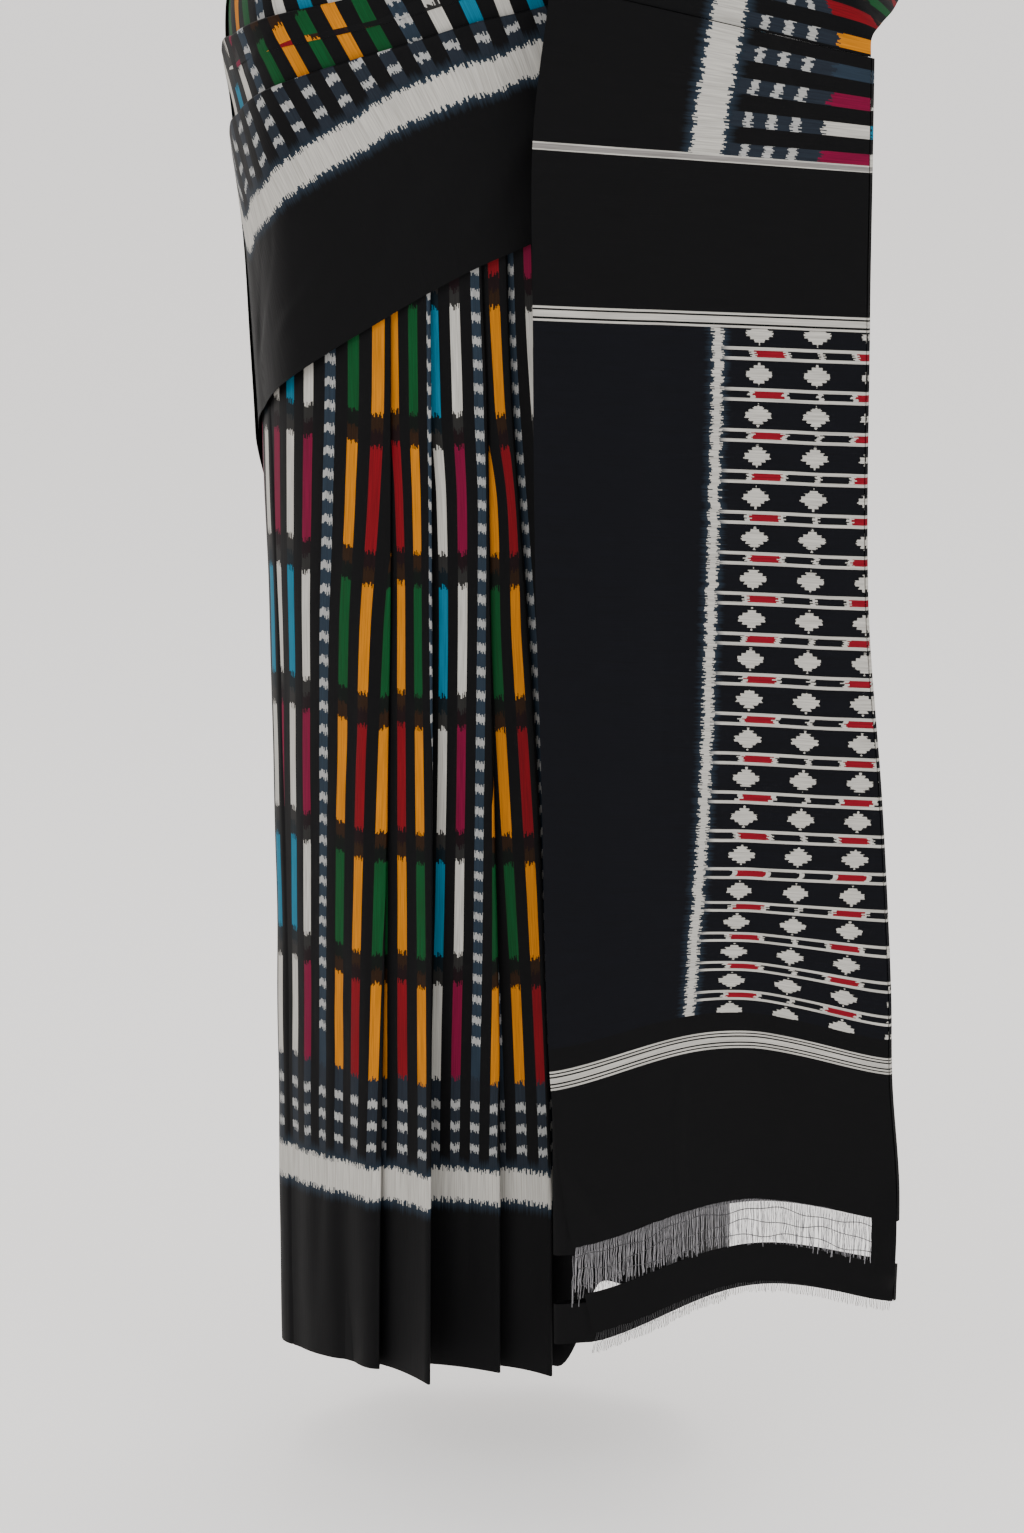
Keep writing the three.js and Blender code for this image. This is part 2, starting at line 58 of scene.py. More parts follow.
FLUTE_ANGLES = (96, 118)     # the waves end between these angles from the back
FOLD = 1.2                   # radius of a pressed fold
VALLEY = 0.8                 # radius of a fold tucked inside a pleat
LEAST_TOP = 5.2              # height of the flattest pleat above the valleys
CLOTH = 0.5                  # thickness of the cloth with its soft finish
COLUMN = 18.75               # ikat columns stand this far apart
TIER_RISE = 5.2              # a tier's face stands out this far at its fold
SHARP = 75.0                 # edges sharper than this, in degrees, stay sharp


def linear(code: str) -> tuple[float, float, float, float]:
    """Turns an sRGB hex colour to linear values.

    Args:
        code: Six hex digits.

    Returns:
        Red, green, blue and an alpha of 1.
    """
    parts = [int(code[index:index + 2], 16) / 255 for index in (0, 2, 4)]
    values = [part / 12.92 if part <= 0.04045 else ((part + 0.055) / 1.055) ** 2.4 for part in parts]
    return (*values, 1.0)


@dataclass(frozen=True)
class Table:
    """Rows of numbers, read along a smooth curve by their first column."""

    names: tuple[str, ...]
    rows: tuple[tuple[float, ...], ...]

    def read(self, name: str, place: np.ndarray | float) -> np.ndarray:
        """Reads one column at places between the rows.

        Args:
            name: The column.
            place: Values of the first column.

        Returns:
            The column's values there.
        """
        table = np.array(sorted(self.rows))
        key, value = table[:, 0], table[:, self.names.index(name)]
        last = len(key) - 1
        at = np.clip(place, key[0], key[-1])
        row = np.clip(np.searchsorted(key, at) - 1, 0, last - 1)
        index = np.arange(last + 1)
        before, after = np.maximum(index - 1, 0), np.minimum(index + 1, last)
        slope = (value[after] - value[before]) / (key[after] - key[before])
        span = key[row + 1] - key[row]
        t = (at - key[row]) / span
        bend = t * t * (3 - 2 * t)
        pull = slope[row] * t * (1 - t) ** 2 - slope[row + 1] * t * t * (1 - t)
        return value[row] + (value[row + 1] - value[row]) * bend + span * pull


FIGURE = Table(("z", "half", "front", "back"), (
    (-1040, 150, 97, 104), (-900, 151, 99, 108), (-720, 152, 103, 116), (-510, 156, 109, 126),
    (-370, 160, 113, 134), (-264, 165, 115, 136), (-188, 171, 113, 131), (-110, 175, 107, 119),
    (-50, 160, 99, 105), (10, 140, 93, 94), (100, 132, 97, 88), (200, 142, 118, 92),
))

PLEATS = Table(("z", "e1", "e2", "e3", "e4", "e5", "e6", "e7", "stand"), (
    (-1040, -82, -47, 0, 35, 63, 90, 116, 27), (-886, -80, -46, 0, 34, 59, 83, 107, 19),
    (-748, -77, -45, -1, 30, 53, 75, 97, 14), (-612, -74, -44, -4, 25, 46, 66, 86, 10.5),
    (-480, -71, -44, -6, 17, 38, 58, 77, 8), (-350, -70, -44, -8, 8, 27, 46, 64, 6.6),
    (-267, -69, -44, -11, 5, 22, 40, 57, 6), (10, -56, -38, -14, 1, 16, 31, 46, 5.6),
))
PLEAT_SHARES = (0.4, 1.5, 0.5, 0.8, 0.8, 0.8, 0.7)
LEAST_STAND = 5.6

# Number of the ikat column that shows at the left end (l) and at the folded edge (r) of each pleat's face.
PLEAT_COLUMNS = Table(("z", "r1", "l2", "r2", "l3", "r3", "l4", "r4", "pitch"), (
    (-1031, 3.5, 3.0, 5.4, 9.8, 13.4, 11.9, 14.3, 15.2),
    (-835, 3.35, 3.0, 5.43, 9.8, 13.25, 12.0, 14.33, 15.5),
    (-514, 2.96, 3.3, 5.82, 9.4, 12.5, 12.75, 14.6, 17.0),
    (-421, 2.57, 3.5, 5.83, 9.5, 12.3, 12.8, 14.4, 18.3),
    (-356, 2.4, 3.8, 5.9, 9.8, 12.35, 13.4, 14.6, 18.3),
    (8, 2.3, 4.0, 5.8, 10.0, 12.2, 13.6, 14.5, 17.0),
))
HIDDEN_COLUMNS = {"l5": 17.9, "r5": 19.3, "l6": 23.0, "r6": 24.3, "l7": 27.9, "r7": 29.2}

# Distance from the border's selvedge, along the weft, at each height of the straight skirt.
SKIRT_ROWS = Table(("z", "weft"), (
    (-1031, 0), (-908, 103), (-885, 123), (-869, 137), (-853, 152.5), (-837, 168), (-817, 187), (-727, 278),
    (-642, 369), (-549, 460), (-454, 551), (-363, 642), (-272, 733), (-90, 915), (8, 1013),
))

WRAP_LINES = Table(("angle", "hem", "fold_one", "fold_two", "top"), (
    (-42, -968, -836, -784, WAIST), (0, -985, -832, -780, WAIST), (30, -952, -775, -723, WAIST),
    (60, -868, -678, -626, WAIST), (90, -750, -560, -508, WAIST), (120, -620, -432, -380, WAIST),
    (150, -492, -304, -252, WAIST), (185, -390, -192, -137, 14), (200, -368, -175, -125, 18),
    (219, -344, -157, -112, 24), (242, -309, -137, -98, 38), (256, -285, -124, -86, 56),
    (267, -266, -112, -74, 78), (276, -251, -104, -64, 100), (287, -238, -93, -51, 128),
))

BAND = Table(("at", "ex", "ey", "ez", "tx", "ty", "tz", "bulge"), (
    (0, 61.5, -126, -236, 49, -114, 128, 5), (1, 98, -116, -176, 42, -128, 205, 20),
    (2, 132, -92, -60, 44, -126, 275, 34), (3, 150, -72, 90, 52, -102, 336, 34),
    (4, 158, -62, 235, 60, -68, 382, 20), (5, 162, -34, 338, 65, -32, 410, 9),
    (6, 164, 7, 368, 68, 9, 418, 6), (7, 168, 54, 340, 70, 50, 398, 7),
    (8, 186, 92, 272, 78, 92, 322, 10), (9, 218, 98, 216, 108, 122, 214, 14),
    (10, 250, 70, 184, 166, 138, 104, 18), (11, 266, 16, 164, 228, 108, 8, 22),
    (12, 262, -46, 148, 262, 30, -50, 24), (13, 232, -104, 132, 268, -50, -84, 22),
    (14, 176, -142, 108, 254, -108, -102, 16), (15, 110, -156, 62, 240, -138, -112, 10),
    (16, 56, -158, -10, 232, -150, -120, 5), (17, 32, -155, -86, 231, -154, -132, 2),
))
BAND_END = 17.0
BAND_CREST = 6.0             # row of the band where its front and back stretches part
CREST_GAP = 0.006

END = Table(("z", "left", "right", "inner", "drop", "front", "wave"), (
    (-86, 32, 231, 36, 46, 155, 0), (-182, 21, 231, 25, 16, 155, 1), (-290, 21, 231, 25, 8, 155, 2),
    (-470, 23, 233, 27, 8, 156, 3), (-600, 27, 244, 31, 8, 157, 4), (-733, 30, 252, 33, 0, 157, 5),
    (-810, 34, 254, 36, -12, 158, 6), (-890, 44, 260, 37, -17, 158, 7), (-970, 62, 259, 38, -22, 158, 7),
))
END_TOP, END_LOW = -86.6, -970.0
END_LINE = -184.0            # the first woven line across the end piece
END_SIDE = 0.87              # share of the end's width where its ikat columns were charted
SIXTH_COLUMN = -139.0        # height of the sixth column there
SIDE_PITCH = 18.5            # distance between its columns there
OPEN_TOP, OPEN_LOW = -911.0, -943.0
LOBE = 0.925                 # the bare threads end here, as a share of the width


def smooth(value: np.ndarray | float, low: float, high: float) -> np.ndarray:
    """Rises softly from 0 at low to 1 at high."""
    t = np.clip((np.asarray(value, float) - low) / (high - low), 0, 1)
    return t * t * (3 - 2 * t)


def on_figure(angle: np.ndarray, z: np.ndarray, offset: np.ndarray | float) -> np.ndarray:
    """Points round the figure, moved out from its oval section.

    Args:
        angle: Compass angle, 270 at the front.
        z: Height.
        offset: Distance out from the section.

    Returns:
        Points, in a last axis of three.
    """
    angle, z, offset = np.broadcast_arrays(np.asarray(angle, float), z, offset)
    turn = np.radians(angle)
    half = FIGURE.read("half", z)
    depth = np.where(np.sin(turn) < 0, FIGURE.read("front", z), FIGURE.read("back", z))
    away = smooth(np.abs((angle - 90 + 540) % 360 - 180), *FLUTE_ANGLES)
    flute = FLUTE * smooth(-z, *FLUTE_HEIGHTS) * (1 - away)
    flute = flute * (0.6 * np.cos(9 * turn + 0.6) + 0.4 * np.cos(5 * turn + 2))
    x = half * np.sign(np.cos(turn)) * np.abs(np.cos(turn)) ** ROUNDNESS
    y = depth * np.sign(np.sin(turn)) * np.abs(np.sin(turn)) ** ROUNDNESS
    normal = np.stack([x / half ** 2, y / depth ** 2], -1)
    normal /= np.linalg.norm(normal, axis=-1, keepdims=True)
    out = offset + flute
    return np.stack([x + out * normal[..., 0], y + out * normal[..., 1], z], -1)


def angle_at(x: np.ndarray, z: float) -> np.ndarray:
    """The compass angle on the front where the figure has this x."""
    share = np.minimum(np.abs(x) / FIGURE.read("half", z), 1) ** (1 / ROUNDNESS)
    return 270 + np.sign(x) * (90 - np.degrees(np.arccos(share)))


def hem_height(angle: np.ndarray, z: np.ndarray | float) -> np.ndarray:
    """Height of a skirt point: the hem is higher at the front, and more so behind the hanging end.

    Args:
        angle: Compass angle.
        z: Height before the lift.

    Returns:
        Height after it.
    """
    facing = np.maximum(0, -np.sin(np.radians(angle))) ** 2
    behind_end = smooth(angle, 283, 296) * (1 - smooth(angle, 338, 400))
    near_hem = smooth(-np.asarray(z, float), 700, -HEM)
    return z + (HEM_FRONT_LIFT * facing + HEM_LEFT_LIFT * behind_end) * near_hem


class Arc:
    """Distance round the figure by compass angle, at the height of the hips."""

    LEVEL = -330.0
    ANGLES = np.arange(-60.0, 621.0, 0.5)

    def __init__(self) -> None:
        """Measures the distances once."""
        points = on_figure(self.ANGLES, np.full_like(self.ANGLES, self.LEVEL), 8)
        strides = np.linalg.norm(np.diff(points, axis=0), axis=1)
        self.lengths = np.concatenate([[0], np.cumsum(strides)])

    def at(self, angle: np.ndarray) -> np.ndarray:
        """Distance at the given angles."""
        return np.interp(angle, self.ANGLES, self.lengths)


ARC = Arc()


@dataclass(frozen=True)
class Crease:
    """A soft trough or ridge placed between two places of a cloth."""

    start: tuple[float, float]
    end: tuple[float, float]
    depth: float
    width: float

    def relief(self, across: np.ndarray, up: np.ndarray) -> np.ndarray:
        """How far the cloth moves out here.

        Args:
            across: First coordinate of the points.
            up: Second coordinate of the points.

        Returns:
            The distance, negative in a trough.
        """
        ax, ay = self.start
        dx, dy = self.end[0] - ax, self.end[1] - ay
        length = math.hypot(dx, dy)
        along = ((across - ax) * dx + (up - ay) * dy) / length ** 2
        side = ((across - ax) * dy - (up - ay) * dx) / length
        side = side + 0.35 * self.width * np.sin(5.1 * along + ax)
        ends = smooth(along, -0.12, 0.25) * (1 - smooth(along, 0.7, 1.12))
        spread = self.width * (0.75 + 0.5 * np.clip(along, 0, 1))
        return self.depth * ends * np.exp(-(side / spread) ** 2)


def relief(creases: Sequence[Crease], across: np.ndarray, up: np.ndarray) -> np.ndarray:
    """Sum of the creases and of a faint unevenness of the whole cloth."""
    uneven = 0.35 * np.sin(across / 23 + up / 71) * np.sin(up / 47 + 1) + 0.2 * np.sin(up / 19 + across / 31)
    return uneven + sum(crease.relief(across, up) for crease in creases)


@dataclass
class Cloth:
    """A sheet of cloth as a grid of points on its middle, with its place on the loom."""

    name: str
    grid: np.ndarray
    warp: np.ndarray
    weft: np.ndarray

    def normals(self) -> np.ndarray:
        """Unit normals of the grid.

        Returns:
            The normals, in a last axis of three.
        """
        across = np.gradient(self.grid, axis=1)
        up = np.gradient(self.grid, axis=0)
        normal = np.cross(across, up)
        return normal / np.maximum(np.linalg.norm(normal, axis=-1, keepdims=True), 1e-9)

    def raised(self, height: np.ndarray) -> "Cloth":
        """The same cloth moved out along its normals."""
        return Cloth(self.name, self.grid + self.normals() * height[..., None], self.warp, self.weft)

    def faces(self) -> np.ndarray:
        """Corners of the shell's faces: its front, its back and its four edges.

        Returns:
            Four point numbers for each face.
        """
        rows, columns = self.grid.shape[:2]
        front = np.arange(rows * columns).reshape(rows, columns)
        back = front + rows * columns
        sides = (
            (front[:-1, :-1], front[:-1, 1:], front[1:, 1:], front[1:, :-1]),
            (back[:-1, :-1], back[1:, :-1], back[1:, 1:], back[:-1, 1:]),
            (back[:-1, 0], front[:-1, 0], front[1:, 0], back[1:, 0]),
            (front[:-1, -1], back[:-1, -1], back[1:, -1], front[1:, -1]),
            (back[0, :-1], back[0, 1:], front[0, 1:], front[0, :-1]),
            (front[-1, :-1], front[-1, 1:], back[-1, 1:], back[-1, :-1]),
        )
        return np.concatenate([np.stack(corners, -1).reshape(-1, 4) for corners in sides])

    def build(self) -> bpy.types.Object:
        """Makes the thin closed shell, with the loom places as its UV map.

        Returns:
            The piece.
        """
        half = self.normals() * CLOTH / 2
        points = np.concatenate([(self.grid + half).reshape(-1, 3), (self.grid - half).reshape(-1, 3)]) * MM
        faces = self.faces()
        mesh = bpy.data.meshes.new(self.name)
        mesh.from_pydata(points.tolist(), [], faces.tolist())
        places = np.tile(np.stack([self.warp.ravel(), self.weft.ravel()], -1) * MM, (2, 1))
        layer = mesh.uv_layers.new(name="loom")
        layer.data.foreach_set("uv", places[faces.ravel()].ravel())
        mesh.shade_smooth()
        mesh.set_sharp_from_angle(angle=math.radians(SHARP))
        sides = self.grid[:-1, 1:] - self.grid[:-1, :-1], self.grid[1:, :-1] - self.grid[:-1, :-1]
        area = np.linalg.norm(np.cross(*sides), axis=-1).sum() * MM * MM
        log.info("%s: %d faces, %.4f square metres", self.name, len(faces), area)
        return add_object(self.name, mesh)


def add_object(name: str, data: bpy.types.ID) -> bpy.types.Object:
    """Puts a mesh, a light or a camera in the scene.

    Args:
        name: Name of the object.
        data: Its mesh, light or camera.

    Returns:
        The object.
    """
    thing = bpy.data.objects.new(name, data)
    bpy.context.scene.collection.objects.link(thing)
    return thing


class Ink(Enum):
    """Dye and yarn colours of the weave, as sRGB hex."""

    BLACK = "060607"
    NAVY = "07080d"
    WHITE = "a8a59e"
    DULL_WHITE = "8f8f8d"
    YELLOW = "ac6800"
    GREEN = "053e1c"
    BLUE = "006079"
    RED = "680611"
    END_RED = "72091a"
    MAGENTA = "620429"
    SLATE = "1f2a35"
    DARK_SLATE = "1b2129"
    GREY = "767370"

    def rgba(self) -> tuple[float, float, float, float]:
        """The colour in linear values."""
        return linear(self.value)


MATH, MIX = "ShaderNodeMath", "ShaderNodeMix"
FROM, TO = 6, 7              # a Mix node's inputs for its two colours
COLOURS = {"out": 2, "data_type": "RGBA"}


class NodeTree:
    """A node tree that code fills."""

    def __init__(self, tree: bpy.types.NodeTree) -> None:
        """Takes the tree to fill."""
        self.tree = tree

    def add(self, kind: str, *inputs: object, out: int = 0, named: dict | None = None,
            stops: Sequence[tuple[float, object]] = (), soft: bool = False,
            **settings: object) -> bpy.types.NodeSocket | None:
        """Adds a node with its settings and links.

        Args:
            kind: The node's type.
            inputs: Sockets or values for its first inputs, None to leave one alone.
            out: The output to return.
            named: Sockets or values for other inputs, by name or number.
            stops: Places of a colour ramp, each with an Ink or a grey that starts there.
            soft: Whether the ramp's colours blend.
            settings: Attributes of the node.

        Returns:
            One output socket, or None where the node has none.
        """
        node = self.tree.nodes.new(kind)
        for key, value in settings.items():
            setattr(node, key, value)
        for key, value in (*enumerate(inputs), *(named or {}).items()):
            if isinstance(value, bpy.types.NodeSocket):
                self.tree.links.new(value, node.inputs[key])
            elif value is not None:
                node.inputs[key].default_value = value
        if stops:
            ramp = node.color_ramp
            ramp.interpolation = "LINEAR" if soft else "CONSTANT"
            while len(ramp.elements) < len(stops):
                ramp.elements.new(1.0)
            for element, (place, _) in zip(ramp.elements, stops):
                element.position = place
            for element, (_, shade) in zip(ramp.elements, stops):
                element.color = shade.rgba() if isinstance(shade, Ink) else (shade, shade, shade, 1)
        return node.outputs[out] if node.outputs else None


@dataclass(frozen=True)
class SilkFinish:
    """Handwoven silk in a soft finish: a low gloss, streaked by slubs that run along the weft."""

    roughness: float = 0.55
    rough_swing: float = 0.05
    shade_swing: float = 0.22    # slubs are this much lighter or darker
    slub_across: float = 1.1     # the streaks' frequency for each millimetre along the warp
    slub_along: float = 0.03     # and along the weft
    slub_range: tuple[float, float] = (0.3, 0.7)
    bump: float = 0.16
    slub_height: float = 0.0004  # metres
    ior: float = 1.52
    specular: float = 0.07       # soft yarn scatters most of what a smooth face would reflect
    sheen: float = 0.004
    sheen_roughness: float = 0.35


class Weave(NodeTree):
    """Node tree of one woven material."""

    THREAD = 0.7             # weft threads are drawn 0.7 mm wide, wider than real ones, to show in the render

    def __init__(self, name: str) -> None:
        """Makes the material, with the places on the loom as its first nodes.

        Args:
            name: Name of the material.
        """
        self.material = bpy.data.materials.new(name)
        self.material.use_nodes = True
        super().__init__(self.material.node_tree)
        self.tree.nodes.clear()
        place = self.add("ShaderNodeUVMap", uv_map="loom")
        scaled = self.add("ShaderNodeVectorMath", place, (1 / MM, 1 / MM, 1.0), operation="MULTIPLY")
        self.warp = self.add("ShaderNodeSeparateXYZ", scaled)
        self.weft = self.warp.node.outputs[1]

    def jitter(self, spread: float) -> bpy.types.NodeSocket:
        """Random shift of each weft thread, up to half the spread either way.

        Args:
            spread: Twice the greatest shift.

        Returns:
            The shift.
        """
        thread = self.add(MATH, self.warp, self.THREAD, operation="DIVIDE")
        thread = self.add(MATH, thread, operation="FLOOR")
        random = self.add("ShaderNodeTexWhiteNoise", None, thread, noise_dimensions="1D")
        return self.add(MATH, random, spread, -spread / 2, operation="MULTIPLY_ADD")

    def frayed(self, spread: float) -> bpy.types.NodeSocket:
        """Place along the weft, shifted at random from thread to thread."""
        return self.add(MATH, self.weft, self.jitter(spread), operation="ADD")

    def finish(self, colour: bpy.types.NodeSocket, silk: SilkFinish) -> bpy.types.Material:
        """Puts the colour on a silk surface, with slubs along the weft.

        Args:
            colour: The cloth's colour.
            silk: The finish.

        Returns:
            The material.
        """
        fine = self.add(MATH, self.warp, silk.slub_across, operation="MULTIPLY")
        slow = self.add(MATH, self.weft, silk.slub_along, operation="MULTIPLY")
        streaks = self.add("ShaderNodeCombineXYZ", fine, slow)
        slub = self.add("ShaderNodeTexNoise", streaks, None, 1.0, 2.0)
        shades = 1 - silk.shade_swing, 1 + silk.shade_swing
        light = self.add("ShaderNodeMapRange", slub, *silk.slub_range, *shades)
        rough = self.add("ShaderNodeMapRange", slub, *silk.slub_range, silk.roughness - silk.rough_swing,
                         silk.roughness + silk.rough_swing)
        surface = self.add("ShaderNodeBsdfPrincipled", named={
            "Base Color": self.add("ShaderNodeVectorMath", colour, light, operation="MULTIPLY"),
            "Roughness": rough,
            "Normal": self.add("ShaderNodeBump", silk.bump, silk.slub_height, named={"Height": slub}),
            "IOR": silk.ior,
            "Specular IOR Level": silk.specular,
            "Sheen Weight": silk.sheen,
            "Sheen Roughness": silk.sheen_roughness,
        })
        self.add("ShaderNodeOutputMaterial", surface)
        return self.material


@dataclass(frozen=True)
class Ikat:
    """Weft ikat of black silk: a plain border, a white band, and columns of coloured bars."""

    band: tuple[float, float] = (103.0, 123.0)
    halo: tuple[float, float] = (7.0, 8.0)      # the dye runs this far past the band, below and above it
    dashes: tuple[float, ...] = (137.0, 152.5, 168.0)
    dash: float = 5.2
    dashes_from: float = 4.0     # stripes start this far above the band
    bars: float = 187.0          # the first row of bars starts here
    bar: float = 69.0
    pitch: float = 91.0          # from one row of bars to the next
    stripe: float = 0.235        # half a stripe's width, as a share of the column pitch
    faint: float = 0.035         # share of a bar's dye that is left between the bars
    changes: tuple[float, float] = (0.44, 0.94)     # the dyes change here, as a share of two rows
    drift: float = 3.0           # spread of the columns' starts
    loose_from: float = 213.0    # the loose column of small marks starts here
    loose_pitch: float = 15.3
    bar_fray: float = 5.0
    mark_fray: float = 3.2
    band_fray: float = 4.6
    reach: float = 200.0         # the ramps near the border cover this much
    odd_rows: tuple[Ink, ...] = (
        Ink.SLATE, Ink.GREEN, Ink.YELLOW, Ink.GREEN, Ink.YELLOW, Ink.GREEN,
        Ink.SLATE, Ink.WHITE, Ink.BLUE, Ink.WHITE, Ink.BLUE, Ink.WHITE,
    )
    even_rows: tuple[Ink, ...] = (
        Ink.SLATE, Ink.YELLOW, Ink.RED, Ink.YELLOW, Ink.RED, Ink.YELLOW,
        Ink.SLATE, Ink.MAGENTA, Ink.WHITE, Ink.MAGENTA, Ink.WHITE, Ink.MAGENTA,
    )

    def rows_of_bars(self, weave: Weave, order: bpy.types.NodeSocket,
                     place: bpy.types.NodeSocket) -> bpy.types.NodeSocket:
        """Colour of the bars.

        Args:
            weave: The node tree.
            order: Number of the column.
            place: Place along the weft.

        Returns:
            The colour, faint between the bars.
        """
        add = weave.add
        count = len(self.odd_rows)
        turn = add(MATH, order, float(count), operation="FLOORED_MODULO")
        turn = add(MATH, turn, float(count), operation="DIVIDE")
        odd, even = (
            add("ShaderNodeValToRGB", turn, stops=[(index / count, ink) for index, ink in enumerate(row)])
            for row in (self.odd_rows, self.even_rows)
        )
        double = 2 * self.pitch
        row = add(MATH, place, self.bars, operation="SUBTRACT")
        row = add(MATH, row, double, operation="FLOORED_MODULO")
        row = add(MATH, row, double, operation="DIVIDE")
        solid = add("ShaderNodeValToRGB", row, stops=[
            (0, 1), (self.bar / double, 0), (0.5, 1), ((self.pitch + self.bar) / double, 0)])
        is_odd = add("ShaderNodeValToRGB", row, stops=[(0, 0), (self.changes[0], 1), (self.changes[1], 0)])
        dye = add(MIX, is_odd, named={FROM: even, TO: odd}, **COLOURS)
        strength = add("ShaderNodeMapRange", solid, 0.0, 1.0, self.faint, 1.0)
        return add(MIX, strength, named={FROM: Ink.BLACK.rgba(), TO: dye}, **COLOURS)

    def loose_marks(self, weave: Weave, place: bpy.types.NodeSocket) -> bpy.types.NodeSocket:
        """Colour of the column of small marks, at a place along the weft.

        Args:
            weave: The weave.
            place: Place along the weft.

        Returns:
            Their colour.
        """
        add = weave.add
        mark = add(MATH, place, self.loose_from, operation="SUBTRACT")
        mark = add(MATH, mark, self.loose_pitch, operation="FLOORED_MODULO")
        mark = add(MATH, mark, self.dash, operation="LESS_THAN")
        upper = add(MATH, place, self.loose_from, operation="GREATER_THAN")
        mark = add(MATH, mark, upper, operation="MULTIPLY")
        return add(MIX, mark, named={FROM: Ink.SLATE.rgba(), TO: Ink.DULL_WHITE.rgba()}, **COLOURS)

    def colour(self, weave: Weave) -> bpy.types.NodeSocket:
        """Colour of the cloth at a place on the loom.

        Args:
            weave: The weave.

        Returns:
            Colour of the cloth.
        """
        add = weave.add
        number = add(MATH, weave.warp, COLUMN, operation="DIVIDE")
        cell = add(MATH, number, operation="ROUND")
        side = add(MATH, number, cell, operation="SUBTRACT")
        side = add(MATH, side, operation="ABSOLUTE")
        in_stripe = add(MATH, side, self.stripe, operation="LESS_THAN")
        order = add(MATH, cell, 0.5, operation="ADD")
        drift = add("ShaderNodeTexWhiteNoise", None, cell, noise_dimensions="1D")
        drift = add(MATH, drift, self.drift, -self.drift / 2, operation="MULTIPLY_ADD")
        place = add(MATH, weave.frayed(self.bar_fray), drift, operation="ADD")
        calm = weave.frayed(self.mark_fray)
        third = add(MATH, order, len(self.odd_rows) / 2, operation="FLOORED_MODULO")
        loose = add(MATH, third, 1.0, operation="LESS_THAN")
        bars = add(MIX, loose, named={FROM: self.rows_of_bars(weave, order, place),
                                      TO: self.loose_marks(weave, calm)}, **COLOURS)

        low = add(MATH, calm, self.reach, operation="DIVIDE")
        stops = [(0.0, 0.0)]
        for middle in self.dashes:
            start, end = middle - self.dash / 2, middle + self.dash / 2
            stops += [(start / self.reach, 1.0), (end / self.reach, 0.0)]
        first = add("ShaderNodeValToRGB", low, stops=stops)
        first = add(MIX, first, named={FROM: Ink.DARK_SLATE.rgba(), TO: Ink.DULL_WHITE.rgba()}, **COLOURS)
        high = add(MATH, place, self.bars, operation="GREATER_THAN")
        stripes = add(MIX, high, named={FROM: first, TO: bars}, **COLOURS)

        start, end = self.band
        places = (0, start - self.halo[0], start, end, end + self.halo[1])
        halo = add("ShaderNodeValToRGB", low, soft=True,
                   stops=[(at / self.reach, shade) for at, shade in zip(places, (0, 0, 1, 1, 0))])
        ground = add(MIX, halo, named={FROM: Ink.BLACK.rgba(), TO: Ink.SLATE.rgba()}, **COLOURS)
        above = add(MATH, calm, end + self.dashes_from, operation="GREATER_THAN")
        shown = add(MATH, in_stripe, above, operation="MULTIPLY")
        cloth = add(MIX, shown, named={FROM: ground, TO: stripes}, **COLOURS)
        edge = add(MATH, weave.frayed(self.band_fray), self.reach, operation="DIVIDE")
        band = add("ShaderNodeValToRGB", edge, stops=[(0, 0), (start / self.reach, 1), (end / self.reach, 0)])
        return add(MIX, band, named={FROM: cloth, TO: Ink.WHITE.rgba()}, **COLOURS)


